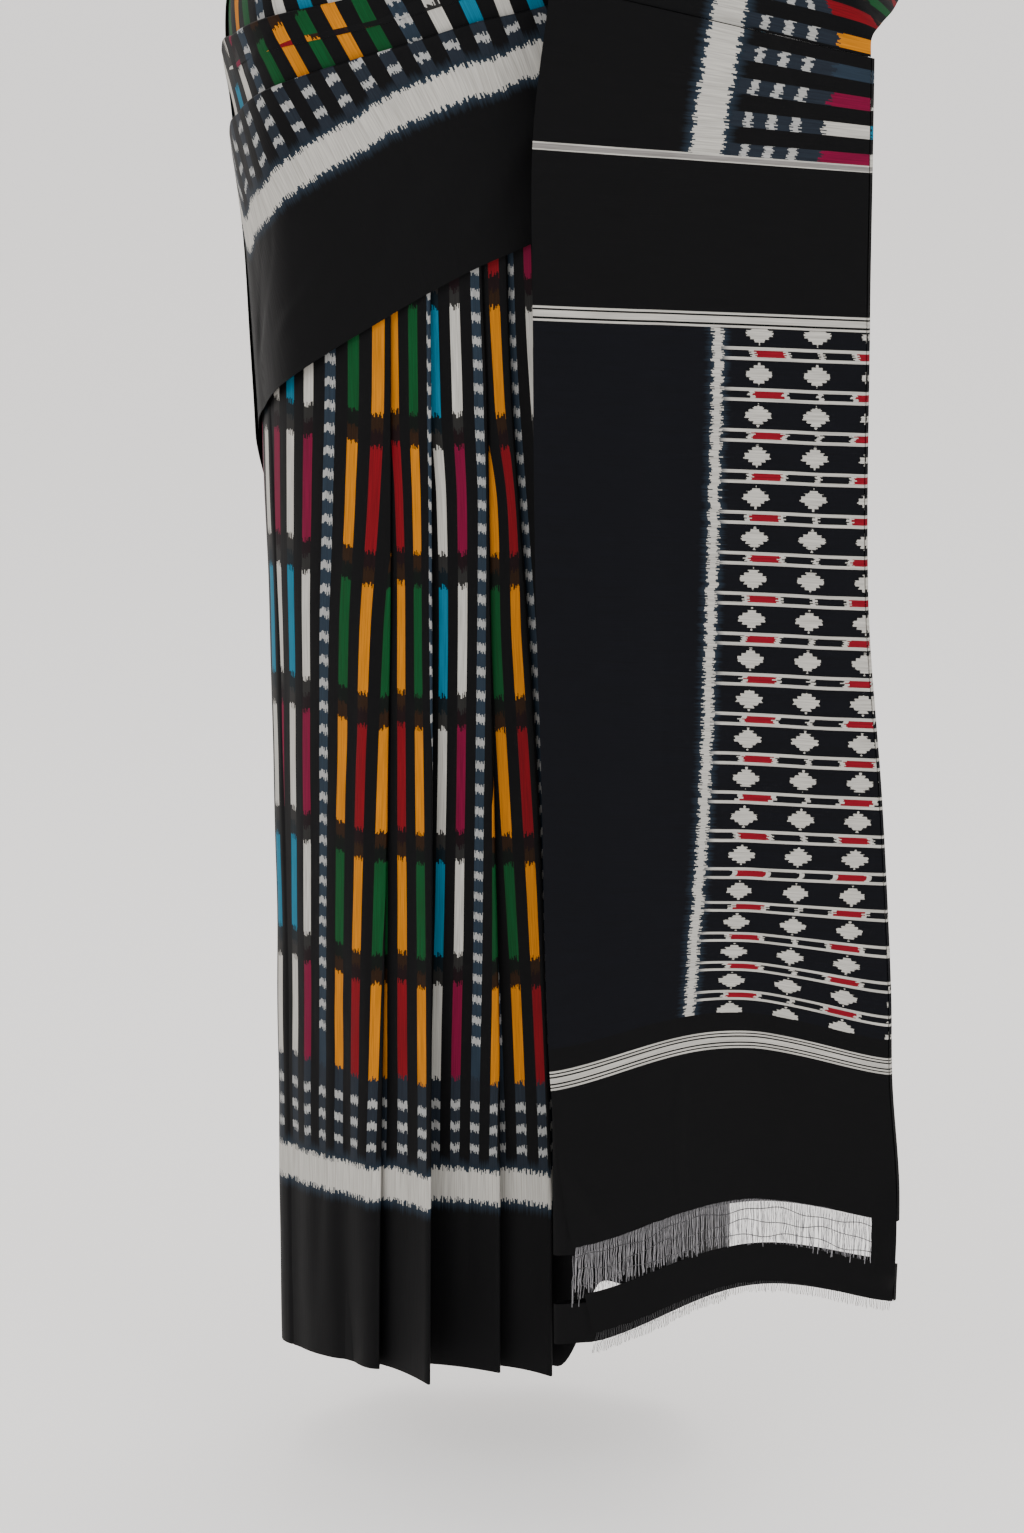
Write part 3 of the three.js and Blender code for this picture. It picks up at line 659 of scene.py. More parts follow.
@dataclass(frozen=True)
class EndDesign:
    """The end piece: ikat above its first line, then lines across, and a field of diamonds and ladders."""

    group: float = 20.0          # the ramp of each group of lines covers this much
    line_groups: tuple[tuple[float, tuple[tuple[float, Ink], ...]], ...] = (
        (0.0, ((0.0, Ink.WHITE), (0.9, Ink.GREY), (4.1, Ink.WHITE), (5.0, Ink.BLACK))),
        (100.0, ((0.0, Ink.BLACK), (3.0, Ink.WHITE), (4.4, Ink.BLACK), (5.6, Ink.WHITE), (9.8, Ink.BLACK),
                 (11.2, Ink.WHITE), (12.6, Ink.BLACK))),
        (603.0, ((0.0, Ink.BLACK), (3.0, Ink.WHITE), (4.3, Ink.BLACK), (5.3, Ink.WHITE), (6.6, Ink.BLACK),
                 (7.7, Ink.WHITE), (11.2, Ink.BLACK), (12.3, Ink.WHITE), (13.6, Ink.BLACK), (14.6, Ink.WHITE),
                 (15.9, Ink.BLACK))),
    )
    field: tuple[float, float] = (113.0, 591.0)
    repeat: float = 26.27        # from one ladder to the next
    first_ladder: float = 129.0
    bar: float = 2.25            # half a ladder's height inside its rails
    rail: float = 4.3            # and with them
    bar_pitch: float = 21.65
    bar_length: float = 18.5
    bar_start: float = 2.0
    red_every: float = 3.0
    edge: float = 116.6          # the white stripe at the field's left, which bends in towards its foot
    edge_bend: float = -25.0
    edge_power: float = 1.7
    edge_half: float = 3.0
    edge_halo: tuple[float, float] = (8.0, 0.8)
    fray: float = 3.4
    diamond_pitch: float = 36.5
    diamond_at: float = 26.2
    diamond_step: tuple[float, float] = (1.9, 2.6)     # a step's height and its length
    diamond_half: float = 8.2
    diamond_fray: float = 1.2

    def lines(self, weave: Weave, down: bpy.types.NodeSocket) -> bpy.types.NodeSocket:
        """Colour of the lines across, each group from a ramp short enough to resolve them.

        Args:
            weave: The weave.
            down: Distance below the first line.

        Returns:
            Their colour over black.
        """
        lines = Ink.BLACK.rgba()
        for start, marks in self.line_groups:
            local = weave.add(MATH, down, start, operation="SUBTRACT")
            local = weave.add(MATH, local, self.group, operation="DIVIDE")
            stops = [(at / self.group, ink) for at, ink in marks]
            drawn = weave.add("ShaderNodeValToRGB", local, stops=stops)
            lines = weave.add(MIX, 1.0, named={FROM: lines, TO: drawn}, blend_type="LIGHTEN", **COLOURS)
        return lines

    def ladder(self, weave: Weave, across: bpy.types.NodeSocket,
               middle: bpy.types.NodeSocket) -> bpy.types.NodeSocket:
        """Colour of the white ladders, with a red bar in every third gap.

        Args:
            weave: The node tree.
            across: Place along the weft, from the stripe at the left.
            middle: Distance from the ladder's middle.

        Returns:
            The colour.
        """
        add = weave.add
        count = add(MATH, across, self.bar_start, operation="SUBTRACT")
        within = add(MATH, count, self.bar_pitch, operation="FLOORED_MODULO")
        in_bar = add(MATH, within, self.bar_length, operation="LESS_THAN")
        which = add(MATH, count, self.bar_pitch, operation="DIVIDE")
        which = add(MATH, which, operation="FLOOR")
        which = add(MATH, which, self.red_every, operation="FLOORED_MODULO")
        which = add(MATH, which, 1.0, 0.2, operation="COMPARE")
        bar = add(MIX, which, named={FROM: Ink.NAVY.rgba(), TO: Ink.END_RED.rgba()}, **COLOURS)
        inside = add(MATH, add(MATH, middle, self.bar, operation="LESS_THAN"), in_bar, operation="MULTIPLY")
        return add(MIX, inside, named={FROM: Ink.WHITE.rgba(), TO: bar}, **COLOURS)

    def diamonds(self, weave: Weave, across: bpy.types.NodeSocket,
                 middle: bpy.types.NodeSocket) -> bpy.types.NodeSocket:
        """Colour of the stepped white diamonds between the ladders.

        Args:
            weave: The node tree.
            across: Place along the weft, from the stripe at the left.
            middle: Distance from the ladder's middle.

        Returns:
            The colour.
        """
        add = weave.add
        offset = add(MATH, across, self.diamond_at - self.diamond_pitch / 2, operation="SUBTRACT")
        offset = add(MATH, offset, self.diamond_pitch, operation="FLOORED_MODULO")
        offset = add(MATH, offset, self.diamond_pitch / 2, operation="SUBTRACT")
        offset = add(MATH, offset, operation="ABSOLUTE")
        offset = add(MATH, offset, weave.jitter(self.diamond_fray), operation="ADD")
        rise = add(MATH, middle, -1.0, self.repeat / 2, operation="MULTIPLY_ADD")
        rise = add(MATH, rise, self.diamond_step[0], operation="DIVIDE")
        rise = add(MATH, rise, operation="FLOOR")
        reach = add(MATH, rise, -self.diamond_step[1], self.diamond_half, operation="MULTIPLY_ADD")
        diamond = add(MATH, offset, reach, operation="LESS_THAN")
        return add(MIX, diamond, named={FROM: Ink.NAVY.rgba(), TO: Ink.WHITE.rgba()}, **COLOURS)

    def colour(self, weave: Weave, plain: bpy.types.NodeSocket) -> bpy.types.NodeSocket:
        """Colour of the cloth at a place on the loom.

        Args:
            weave: The node tree.
            plain: The ikat's colour, for the cloth above the first line.

        Returns:
            The colour.
        """
        add = weave.add
        down = add(MATH, weave.warp, END_WARP, operation="SUBTRACT")
        depth = add("ShaderNodeMapRange", down, *self.field, 0.0, 1.0)
        bend = add(MATH, depth, self.edge_power, operation="POWER")
        centre = add(MATH, bend, self.edge_bend, self.edge, operation="MULTIPLY_ADD")
        across = add(MATH, weave.frayed(self.fray), centre, operation="SUBTRACT")
        crisp = add(MATH, weave.weft, centre, operation="SUBTRACT")
        away = add(MATH, across, operation="ABSOLUTE")
        stripe = add(MATH, away, self.edge_half, operation="LESS_THAN")
        halo = add("ShaderNodeMapRange", away, self.edge_half, *self.edge_halo, 0.0)

        step = add(MATH, down, self.first_ladder - self.repeat / 2, operation="SUBTRACT")
        step = add(MATH, step, self.repeat, operation="FLOORED_MODULO")
        middle = add(MATH, step, self.repeat / 2, operation="SUBTRACT")
        middle = add(MATH, middle, operation="ABSOLUTE")
        rails = add(MATH, middle, self.rail, operation="LESS_THAN")
        figures = add(MIX, rails, named={FROM: self.diamonds(weave, crisp, middle),
                                         TO: self.ladder(weave, across, middle)}, **COLOURS)
        right = add(MATH, across, 0.0, operation="GREATER_THAN")
        zone = add(MATH, down, self.field[0], operation="GREATER_THAN")
        zone = add(MATH, zone, add(MATH, down, self.field[1], operation="LESS_THAN"), operation="MULTIPLY")
        below = add(MATH, down, 0.0, operation="GREATER_THAN")
        figures = add(MIX, right, named={FROM: Ink.NAVY.rgba(), TO: figures}, **COLOURS)
        figures = add(MIX, halo, named={FROM: figures, TO: Ink.SLATE.rgba()}, **COLOURS)
        figures = add(MIX, stripe, named={FROM: figures, TO: Ink.WHITE.rgba()}, **COLOURS)
        ends = add(MIX, zone, named={FROM: self.lines(weave, down), TO: figures}, **COLOURS)
        return add(MIX, below, named={FROM: plain, TO: ends}, **COLOURS)


def end_warp(z: np.ndarray | float) -> np.ndarray:
    """Place along the warp at a height of the end piece, whose columns were charted at its right side.

    Args:
        z: Height on the end piece.

    Returns:
        Places along the warp.
    """
    above_line = np.maximum(z, END_LINE)
    side_height = above_line - END_SIDE * END.read("drop", above_line)
    return COLUMN * (6 + (SIXTH_COLUMN - side_height) / SIDE_PITCH) + np.maximum(0, END_LINE - z)


END_WARP = float(end_warp(np.array(END_LINE)))


@dataclass(frozen=True)
class Filament:
    """Loose silk filament, which keeps a faint gloss."""

    name: str
    colour: str
    roughness: float = 0.55
    ior: float = 1.52
    sheen: float = 0.2

    def material(self) -> bpy.types.Material:
        """Makes the material.

        Returns:
            The material.
        """
        material = bpy.data.materials.new(self.name)
        material.use_nodes = True
        inputs = material.node_tree.nodes["Principled BSDF"].inputs
        inputs["Base Color"].default_value = linear(self.colour)
        inputs["Roughness"].default_value = self.roughness
        inputs["IOR"].default_value = self.ior
        inputs["Sheen Weight"].default_value = self.sheen
        return material


class Silks:
    """The saree's materials."""

    def __init__(self) -> None:
        """Makes every material once."""
        weave = Weave("Handwoven ikat silk")
        self.ikat = weave.finish(Ikat().colour(weave), SilkFinish())
        weave = Weave("Handwoven end-piece silk")
        self.end = weave.finish(EndDesign().colour(weave, Ikat().colour(weave)), SilkFinish())
        self.dark_thread = Filament("Black silk filament", "232225").material()
        self.pale_thread = Filament("Grey silk filament", "8f8d90").material()
        self.cross_thread = Filament("Brown-black silk filament", "2c2a2c").material()


def dress(piece: bpy.types.Object, node: str, material: bpy.types.Material, slot: str = "ikat_silk") -> None:
    """Puts a cloth in place of its CAD node.

    Args:
        piece: The cloth.
        node: The CAD node it replaces.
        material: Its silk.
        slot: The record's material slot; not used.
    """
    piece.data.materials.append(material)
    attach(piece, "root")
    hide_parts(node)


def skirt_heights(count: int) -> np.ndarray:
    """Levels of the skirt, from the hem to the waist."""
    return HEM + (WAIST - HEM) * np.linspace(0, 1, count)


@dataclass(frozen=True)
class FirstTurn:
    """First turn of the cloth, round the left side and the back."""

    angles: tuple[float, float, int] = (250, 561.2, 240)
    tucked: tuple[float, float] = (558.4, 559.9)    # here its end slips in behind the smooth face
    tuck: float = 1.3
    rows: int = 150
    limits: tuple[float, float] = (-1.6, 1.0)
    flat: tuple[float, float] = (1.039, 0.763)
    creases: tuple[Crease, ...] = (
        Crease((372, -990), (380, -620), 1.5, 5), Crease((400, -1000), (392, -560), -1.3, 6),
        Crease((430, -960), (446, -500), 1.4, 7), Crease((500, -1000), (488, -640), -1.3, 6),
        Crease((335, -1000), (342, -700), 1.2, 5),
    )

    def build(self, silks: Silks) -> None:
        """Args:
            silks: The materials.
        """
        angles = np.linspace(*self.angles)[None, :]
        heights = skirt_heights(self.rows)[:, None]
        lifted = hem_height(angles, heights)
        across = np.broadcast_to(angles, lifted.shape)
        grid = on_figure(angles, lifted, -self.tuck * smooth(angles, *self.tucked))
        cloth = Cloth("first_turn", grid, -ARC.at(across), SKIRT_ROWS.read("weft", heights) + 0 * angles)
        piece = cloth.raised(np.clip(relief(self.creases, across, lifted), *self.limits)).build()
        dress(piece, "inner_wrap", silks.ikat)


@dataclass
class Profile:
    """Points of one level of the pleats, from the right side to the left."""

    xs: list[float] = field(default_factory=list)
    heights: list[float] = field(default_factory=list)
    columns: list[float] = field(default_factory=list)
    free: list[float] = field(default_factory=list)

    def add(self, x: float, height: float, column: float, free: float = 0.0) -> None:
        """Adds a point: its height over the valleys, its ikat column and how freely it waves."""
        for values, value in zip((self.xs, self.heights, self.columns, self.free), (x, height, column, free)):
            values.append(value)


@dataclass(frozen=True)
class KnifePleats:
    """The knife pleats with the smooth face that leads into them."""

    base: float = 3.0            # height of the valleys over the figure
    face: tuple[float, int] = (200.15, 60)          # the smooth face's first angle and its points
    face_lift: tuple[float, float] = (200, 225)
    face_rise: float = 214.0     # the face rises to the first edge from here
    groove: tuple[float, float, float] = (4, 229, 4)        # depth, angle and width
    groove_heights: tuple[float, float] = (650, 1000)
    tuck_share: float = 0.62     # a fold is tucked this share of its face deep
    deepest: float = 24.0
    last_face: float = 19.0
    last_top: float = 1.5
    last_columns: tuple[float, float] = (33.0, 34.0)
    edge_column: float = 0.1     # columns round a pressed edge
    swell: tuple[float, float] = (1.55, 0.65)
    swell_stands: tuple[float, float] = (8, 16)
    calm: tuple[float, float] = (14, 2)             # the face lies flat this near to the first edge
    calm_heights: tuple[float, float] = (250, 330)
    limits: tuple[float, float] = (-1.4, 1.2)
    share: float = 0.8           # of the creases' depth
    rows: int = 150
    flat: tuple[float, float] = (1.039, 0.556)
    creases: tuple[Crease, ...] = (
        Crease((-128, -990), (-118, -560), -1.6, 6), Crease((-101, -1010), (-98, -700), 1.4, 6),
        Crease((-112, -520), (-96, -330), -1.1, 8), Crease((-88, -820), (-90, -420), 0.9, 5),
        Crease((-62, -980), (-58, -640), -0.9, 5), Crease((-22, -1000), (-24, -600), -0.9, 6),
        Crease((-30, -560), (-20, -330), 0.7, 6), Crease((14, -980), (12, -640), 0.8, 5),
        Crease((-128, -640), (-84, -560), -0.8, 8), Crease((-120, -800), (-92, -750), 0.7, 9),
    )

    def folds(self, z: float, edges: list[float], tops: list[float], columns: dict[str, float]) -> Profile:
        """The pleats at one level.

        Args:
            z: Height before the hem's lift.
            edges: Where each pleat's edge lies.
            tops: How high each edge stands over the valleys.
            columns: Numbers of the ikat columns at the faces' ends.

        Returns:
            The level's points.
        """
        stand = float(PLEATS.read("stand", z))
        swell = self.swell[0] + self.swell[1] * float(smooth(stand, *self.swell_stands))
        profile = Profile()
        for index, (edge, top) in enumerate(zip(edges, tops)):
            before = edges[index - 1] if index else edge - 40
            valley = edge - min(self.tuck_share * (edge - before), self.deepest)
            right = columns[f"r{index + 1}"]
            for turn in np.linspace(90, -90, 7):
                profile.add(edge - FOLD + FOLD * math.cos(math.radians(turn)),
                            top - FOLD + FOLD * math.sin(math.radians(turn)),
                            right + self.edge_column * (90 - turn) / 180)
            ahead = index + 1 < len(edges)
            next_edge = edges[index + 1] if ahead else edge + self.last_face
            next_top = tops[index + 1] if ahead else self.last_top
            ends = (columns[f"l{index + 2}"], columns[f"r{index + 2}"]) if ahead else self.last_columns
            rate = (ends[1] - ends[0]) / (next_edge - edge)
            at_valley = ends[0] + rate * (valley - edge)
            for t in np.linspace(0, 1, 8)[1:-1]:
                profile.add(edge - FOLD + (valley + VALLEY - edge + FOLD) * t,
                            top - 2 * FOLD + (2 * FOLD + 2 * VALLEY - top) * t,
                            right + self.edge_column + (at_valley - right) * t)
            for turn in np.linspace(90, 270, 6):
                profile.add(valley + VALLEY + VALLEY * math.cos(math.radians(turn)),
                            VALLEY + VALLEY * math.sin(math.radians(turn)), at_valley)
            for t in np.linspace(0, 1, 20)[1:(-1 if ahead else None)]:
                x = valley + VALLEY + (next_edge - FOLD - valley - VALLEY) * t
                profile.add(x, next_top * t ** swell, ends[0] + rate * (x - edge),
                            math.sin(math.pi * t) if ahead else 0.0)
        return profile

    def level(self, z: float) -> tuple[np.ndarray, np.ndarray, np.ndarray]:
        """One level, from the right side to the left.

        Args:
            z: Height before the hem's lift.

        Returns:
            Points, the number of the ikat column at each, and how freely the cloth waves there.
        """
        edges = [float(PLEATS.read(f"e{number}", z)) for number in range(1, 8)]
        stand = float(PLEATS.read("stand", z))
        tops = [LEAST_TOP + (stand - LEAST_STAND) * share for share in PLEAT_SHARES]
        columns = {name: float(PLEAT_COLUMNS.read(name, z)) for name in PLEAT_COLUMNS.names[1:]}
        columns.update(HIDDEN_COLUMNS)

        first = float(angle_at(np.array(edges[0] - FOLD), z))
        angles = np.linspace(self.face[0], first, self.face[1])[:-1]
        depth, middle, width = self.groove
        groove = depth * smooth(-z, *self.groove_heights) * np.exp(-((angles - middle) / width) ** 2)
        lifted = hem_height(angles, z)
        face = on_figure(angles, lifted, self.base * smooth(angles, *self.face_lift) - groove)
        face[:, 1] -= tops[0] * smooth(angles, self.face_rise, first) ** 2

        profile = self.folds(z, edges, tops, columns)
        x = np.array(profile.xs)
        around = angle_at(x, z)
        pleats = on_figure(around, hem_height(around, z), self.base)
        pleats[:, 0] = x
        pleats[:, 1] -= np.array(profile.heights)
        strides = np.linalg.norm(np.diff(np.concatenate([face, pleats[:1]]), axis=0), axis=1)
        to_edge = np.cumsum(strides[::-1])[::-1]
        leading = columns["r1"] - to_edge / columns["pitch"]
        waving = np.concatenate([1 - smooth(to_edge, *self.calm), profile.free])
        return np.concatenate([face, pleats]), np.concatenate([leading, profile.columns]), waving

    def build(self, silks: Silks) -> None:
        """Args:
            silks: The materials.
        """
        heights = skirt_heights(self.rows)
        grid, columns, waving = (np.stack(part) for part in zip(*(self.level(z) for z in heights)))
        weft = np.broadcast_to(SKIRT_ROWS.read("weft", heights)[:, None], columns.shape)
        height = np.clip(relief(self.creases, grid[..., 0], grid[..., 2]), *self.limits)
        calm = waving * smooth(-grid[..., 2], *self.calm_heights)
        piece = Cloth("knife_pleats", grid, columns * COLUMN, weft).raised(height * calm * self.share).build()
        dress(piece, "front_pleats", silks.ikat)


@dataclass(frozen=True)
class OverWrap:
    """Where the over-wrap lies, and where its columns run: they lean with the slope of its hem."""

    zero: float = 725.0          # column 0 crosses the first fold this far round the figure
    pitch: float = 17.6
    lean: float = 0.72
    lean_reach: float = 200.0
    near_hem: float = 230.0      # up to here the weft follows the hem's slope
    far_share: float = 0.75
    widen: float = 1.065
    columns: tuple[float, ...] = (0.0, 0.0, 4.85)   # columns and weft that each tier hides
    wefts: tuple[float, ...] = (0.0, 145.0, 272.0)
    reach: float = 2.0           # degrees either way over which the hem's slope is taken
    front: tuple[float, float] = (186, 206)         # the charted front starts between these angles
    back_oval: tuple[float, float] = (172, 138)     # half width and half depth of the even oval of the back
    offset: float = 3.0          # distance from the figure, and what clears the pleats
    clearance: float = 8.6
    over: tuple[float, ...] = (196, 222, 318, 340)
    step: float = 0.6            # a tier starts this far above the fold below
    back_lean: Table = Table(("angle", "slope"), (
        (-60, 0.3), (0, 0.4), (60, 0.75), (120, 0.8), (170, 0.58), (210, 0.46),
    ))

    def place(self, angle: np.ndarray, z: np.ndarray, tier: int) -> tuple[np.ndarray, np.ndarray]:
        """Place on the loom of a point of the over-wrap.

        Args:
            angle: Compass angle.
            z: Height.
            tier: 0 to 2, from the border up.

        Returns:
            Places along the warp and the weft.
        """
        hem = WRAP_LINES.read("hem", angle)
        front = smooth(angle, *self.front)
        turn = np.radians(angle)
        half, depth = self.back_oval
        even = np.radians(2 * self.reach) * np.hypot(half * np.sin(turn), depth * np.cos(turn))
        ahead, behind = angle + self.reach, angle - self.reach
        run = ARC.at(ahead) - ARC.at(behind)
        run = even + (run - even) * front
        slope = (WRAP_LINES.read("hem", ahead) - WRAP_LINES.read("hem", behind)) / run
        eased = self.back_lean.read("slope", angle)
        eased = eased + (slope - eased) * front
        above = z - WRAP_LINES.read("fold_one", angle)
        lean = self.lean * eased * self.lean_reach * np.tanh(above / self.lean_reach)
        column = (ARC.at(angle) - self.zero + lean) / self.pitch + self.columns[tier]
        low = np.minimum(z - hem, self.near_hem)
        high = z - hem - low
        weft = self.widen * (low * np.cos(np.arctan(slope)) + self.far_share * high) + self.wefts[tier]
        return column * COLUMN, weft

    def away(self, angle: np.ndarray) -> np.ndarray:
        """Distance of the over-wrap from the figure: it clears the pleats at the front.

        Args:
            angle: Compass angle.

        Returns:
            The distance.
        """
        start, full, ease, end = self.over
        over = smooth(angle, start, full) * (1 - smooth(angle, ease, end))
        return self.offset + self.clearance * over


@dataclass(frozen=True)
class SecondTurn:
    """Second turn over the back, whose hem climbs to the right hip."""

    wrap: OverWrap
    angles: tuple[float, float, int] = (-37, 184.85, 170)
    base: float = 5.2
    fold: float = 2.4            # a fold stands out this far where it is fully pressed
    pressed: tuple[float, float] = (10, 120)
    tiers: tuple[tuple[str, str, int], ...] = (
        ("hem", "fold_one", 60), ("fold_one", "fold_two", 18), ("fold_two", "top", 90),
    )
    limits: tuple[float, float] = (-0.9, 1.6)
    flat: tuple[float, float] = (1.034, 0.56)
    area: float = 0.445
    creases: tuple[Crease, ...] = (
        Crease((20, -900), (70, -560), 1.5, 7), Crease((60, -700), (110, -420), -1.4, 8),
        Crease((95, -560), (140, -300), 1.3, 8), Crease((130, -460), (170, -200), -1.2, 7),
        Crease((5, -700), (30, -300), 1.2, 6), Crease((60, -420), (80, -120), -1.2, 7),
        Crease((120, -240), (160, -90), 1.1, 6),
    )

    def build(self, silks: Silks) -> None:
        """Args:
            silks: The materials.
        """
        angles = np.linspace(*self.angles)
        lines = {name: WRAP_LINES.read(name, angles) for name in WRAP_LINES.names[1:]}
        pressed = smooth(angles, *self.pressed)
        rows, places = [], []
        for tier, (low, high, count) in enumerate(self.tiers):
            start = lines[low] + (self.wrap.step if tier else 0)
            for t in np.linspace(0, 1, count):
                z = start + (lines[high] - start) * t
                rise = t ** 3 if tier < 2 else 0.0
                rows.append(on_figure(angles, z, self.base + self.fold * rise * pressed))
                places.append(self.wrap.place(angles, z, tier))
        grid = np.stack(rows)
        warp, weft = (np.stack(part) for part in zip(*places))
        height = relief(self.creases, np.broadcast_to(angles, warp.shape), grid[..., 2])
        piece = Cloth("second_turn", grid, warp, weft).raised(np.clip(height, *self.limits)).build()
        dress(piece, "back_wrap", silks.ikat)


@dataclass(frozen=True)
class FrontTier:
    """One tier of the front over-wrap: its face, the fold on top and the flap behind it."""

    wrap: OverWrap
    node: str
    name: str
    order: int
    low: str
    high: str
    flat: tuple[float, float]
    area: float
    creases: tuple[Crease, ...]
    slot: str = "ikat_silk"
    hidden: float = 14.0         # it reaches this far behind the tier below
    folded: bool = True
    angles: tuple[float, float, int] = (185.15, 286, 130)
    rows: int = 46
    flap: float = 20.0
    flap_gap: float = 0.3
    limits: tuple[float, float] = (-0.8, 1.6)
    settled: float = 0.12        # share of the face below its fold that lies flat

    def build(self, silks: Silks) -> None:
        """Args:
            silks: The materials.
        """
        angles = np.linspace(*self.angles)
        bottom = WRAP_LINES.read(self.low, angles) - self.hidden
        top = WRAP_LINES.read(self.high, angles)
        levels = [(bottom + (top - FOLD - bottom) * t, TIER_RISE * t ** 2, 0.0)
                  for t in np.linspace(0, 1, self.rows)]
        if self.folded:
            for turn in np.linspace(0, 180, 8)[1:]:
                rise = math.sin(math.radians(turn)) * FOLD
                out = TIER_RISE - FOLD + FOLD * math.cos(math.radians(turn))
                levels.append((top - FOLD + rise, out, turn / 45))
            for drop in np.linspace(0, self.flap, 8)[1:]:
                levels.append((top - FOLD - drop, TIER_RISE - 2 * FOLD - self.flap_gap, 2 * drop + 4))
        grid = np.stack([on_figure(angles, z, self.wrap.away(angles) + out) for z, out, _ in levels])
        places = [self.wrap.place(angles, z, self.order) for z, _, _ in levels]
        warp, weft = (np.stack(part) for part in zip(*places))
        weft = weft + np.array([past for _, _, past in levels])[:, None]
        height = relief(self.creases, np.broadcast_to(angles, warp.shape), grid[..., 2])
        height = np.clip(height, *self.limits)
        settled = np.zeros(len(levels))
        settled[:self.rows] = smooth(np.linspace(1, 0, self.rows), 0, self.settled)
        piece = Cloth(self.name, grid, warp, weft).raised(height * settled[:, None]).build()
        dress(piece, self.node, silks.ikat, self.slot)


@dataclass(frozen=True)
class ShoulderBand:
    """A stretch of the band over the shoulder, with the folds of its tiers as low steps."""

    wrap: OverWrap
    name: str
    node: str
    start: float                 # its rows of the band's table
    end: float
    flat: tuple[float, float]
    area: float
    creases: tuple[Crease, ...]
    angle: float = 286.25        # it leaves the over-wrap here
    steps: tuple[tuple[str, str, int], ...] = (
        ("hem", "fold_one", 34), ("fold_one", "fold_two", 12), ("fold_two", "top", 34),
    )
    columns: int = 16            # grid columns for each row of the table
    turning: tuple[float, float] = (8.5, 13.5)      # here the ikat's count passes to the end piece's
    narrowing: tuple[float, float] = (11, 16.5)     # and its weft to the end piece's width
    end_width: float = 199.0
    end_widen: float = 1.04
    limits: tuple[float, float] = (-2, 2)

    def edge(self, letter: str, at: np.ndarray) -> np.ndarray:
        """Points of one edge of the band, e for its border and t for its top."""
        return np.stack([BAND.read(letter + axis, at) for axis in "xyz"], -1)

    def section(self) -> tuple[np.ndarray, np.ndarray, np.ndarray]:
        """The band where it leaves the over-wrap: heights, how far each stands out, and tiers.

        Returns:
            Heights, how far each point stands out, and its tier.
        """
        line = {key: float(WRAP_LINES.read(key, self.angle)) for key in WRAP_LINES.names[1:]}
        rows = []
        for order, (low, high, count) in enumerate(self.steps):
            base = line[low] + (self.wrap.step if order else 0)
            rows += [(base + (line[high] - base) * t, TIER_RISE * t ** 2, order)
                     for t in np.linspace(0, 1, count)]
        height, rise, tier = (np.array(part) for part in zip(*rows))
        return height, rise, tier

    def places(self, at: np.ndarray, t: np.ndarray, height: np.ndarray,
               tier: np.ndarray) -> tuple[np.ndarray, np.ndarray]:
        """Places on the loom, which pass from the over-wrap's to the end piece's.

        Args:
            at: Rows of the band's table.
            t: Shares of the width, from the border.
            height: Heights where the band starts.
            tier: Tiers there.

        Returns:
            Places along the warp and the weft.
        """
        whole = np.linspace(0, BAND_END, 400)
        border = self.edge("e", whole)
        paths = border + (self.edge("t", whole) - border) * t[:, None, None]
        runs = np.cumsum(np.linalg.norm(np.diff(paths, axis=1, prepend=paths[:, :1]), axis=-1), axis=1)
        run = np.stack([np.interp(at, whole, row) for row in runs])
        starts = [self.wrap.place(np.array(self.angle), np.array(z), order) for z, order in zip(height, tier)]
        firsts, wefts = (np.array([float(value) for value in part]) for part in zip(*starts))
        goal = float(end_warp(np.array(END_TOP)))
        repeat = 12 * COLUMN
        middle = len(height) // 2
        goal += repeat * round((firsts[middle] + runs[middle, -1] - goal) / repeat)
        from_front = firsts[:, None] + run
        from_end = goal - (runs[:, -1:] - run)
        warp = from_front + (from_end - from_front) * smooth(at, *self.turning)[None, :]
        to_end = smooth(at, *self.narrowing)[None, :]
        weft = wefts[:, None] * (1 - to_end) + (self.end_widen * self.end_width * t)[:, None] * to_end
        return warp, weft

    def build(self, silks: Silks) -> None:
        """Args:
            silks: The materials.
        """
        height, rise, tier = self.section()
        t = (height - height[0]) / (float(WRAP_LINES.read("top", self.angle)) - height[0])
        at = np.linspace(self.start, self.end, int((self.end - self.start) * self.columns))
        border, other = self.edge("e", at), self.edge("t", at)
        ahead, behind = np.minimum(at + 0.05, BAND_END), np.maximum(at - 0.05, 0)
        heading = self.edge("e", ahead) + self.edge("t", ahead)
        heading = heading - self.edge("e", behind) - self.edge("t", behind)
        out = np.cross(other - border, heading)
        out /= np.linalg.norm(out, axis=-1, keepdims=True)
        fade = 1 - smooth(at, BAND_END - 3, BAND_END - 0.4)
        lift = BAND.read("bulge", at) * 4 * (t * (1 - t))[:, None] + rise[:, None] * fade
        free = border + (other - border) * t[:, None, None] + out * lift[..., None]
        away = self.wrap.away(np.array(self.angle)) + rise
        joined = on_figure(np.full_like(height, self.angle), height, away)
        grid = joined[:, None] + (free - joined[:, None]) * smooth(at, 0, 1)[:, None]
        cloth = Cloth(self.name, grid, *self.places(at, t, height, tier))
        uneven = np.clip(relief(self.creases, grid[..., 0], grid[..., 2]), *self.limits)
        held = smooth(at, 0.1, 1.2) * (1 - smooth(at, BAND_END - 1, BAND_END - 0.1))
        piece = cloth.raised(uneven * held).build()
        dress(piece, self.node, silks.ikat)


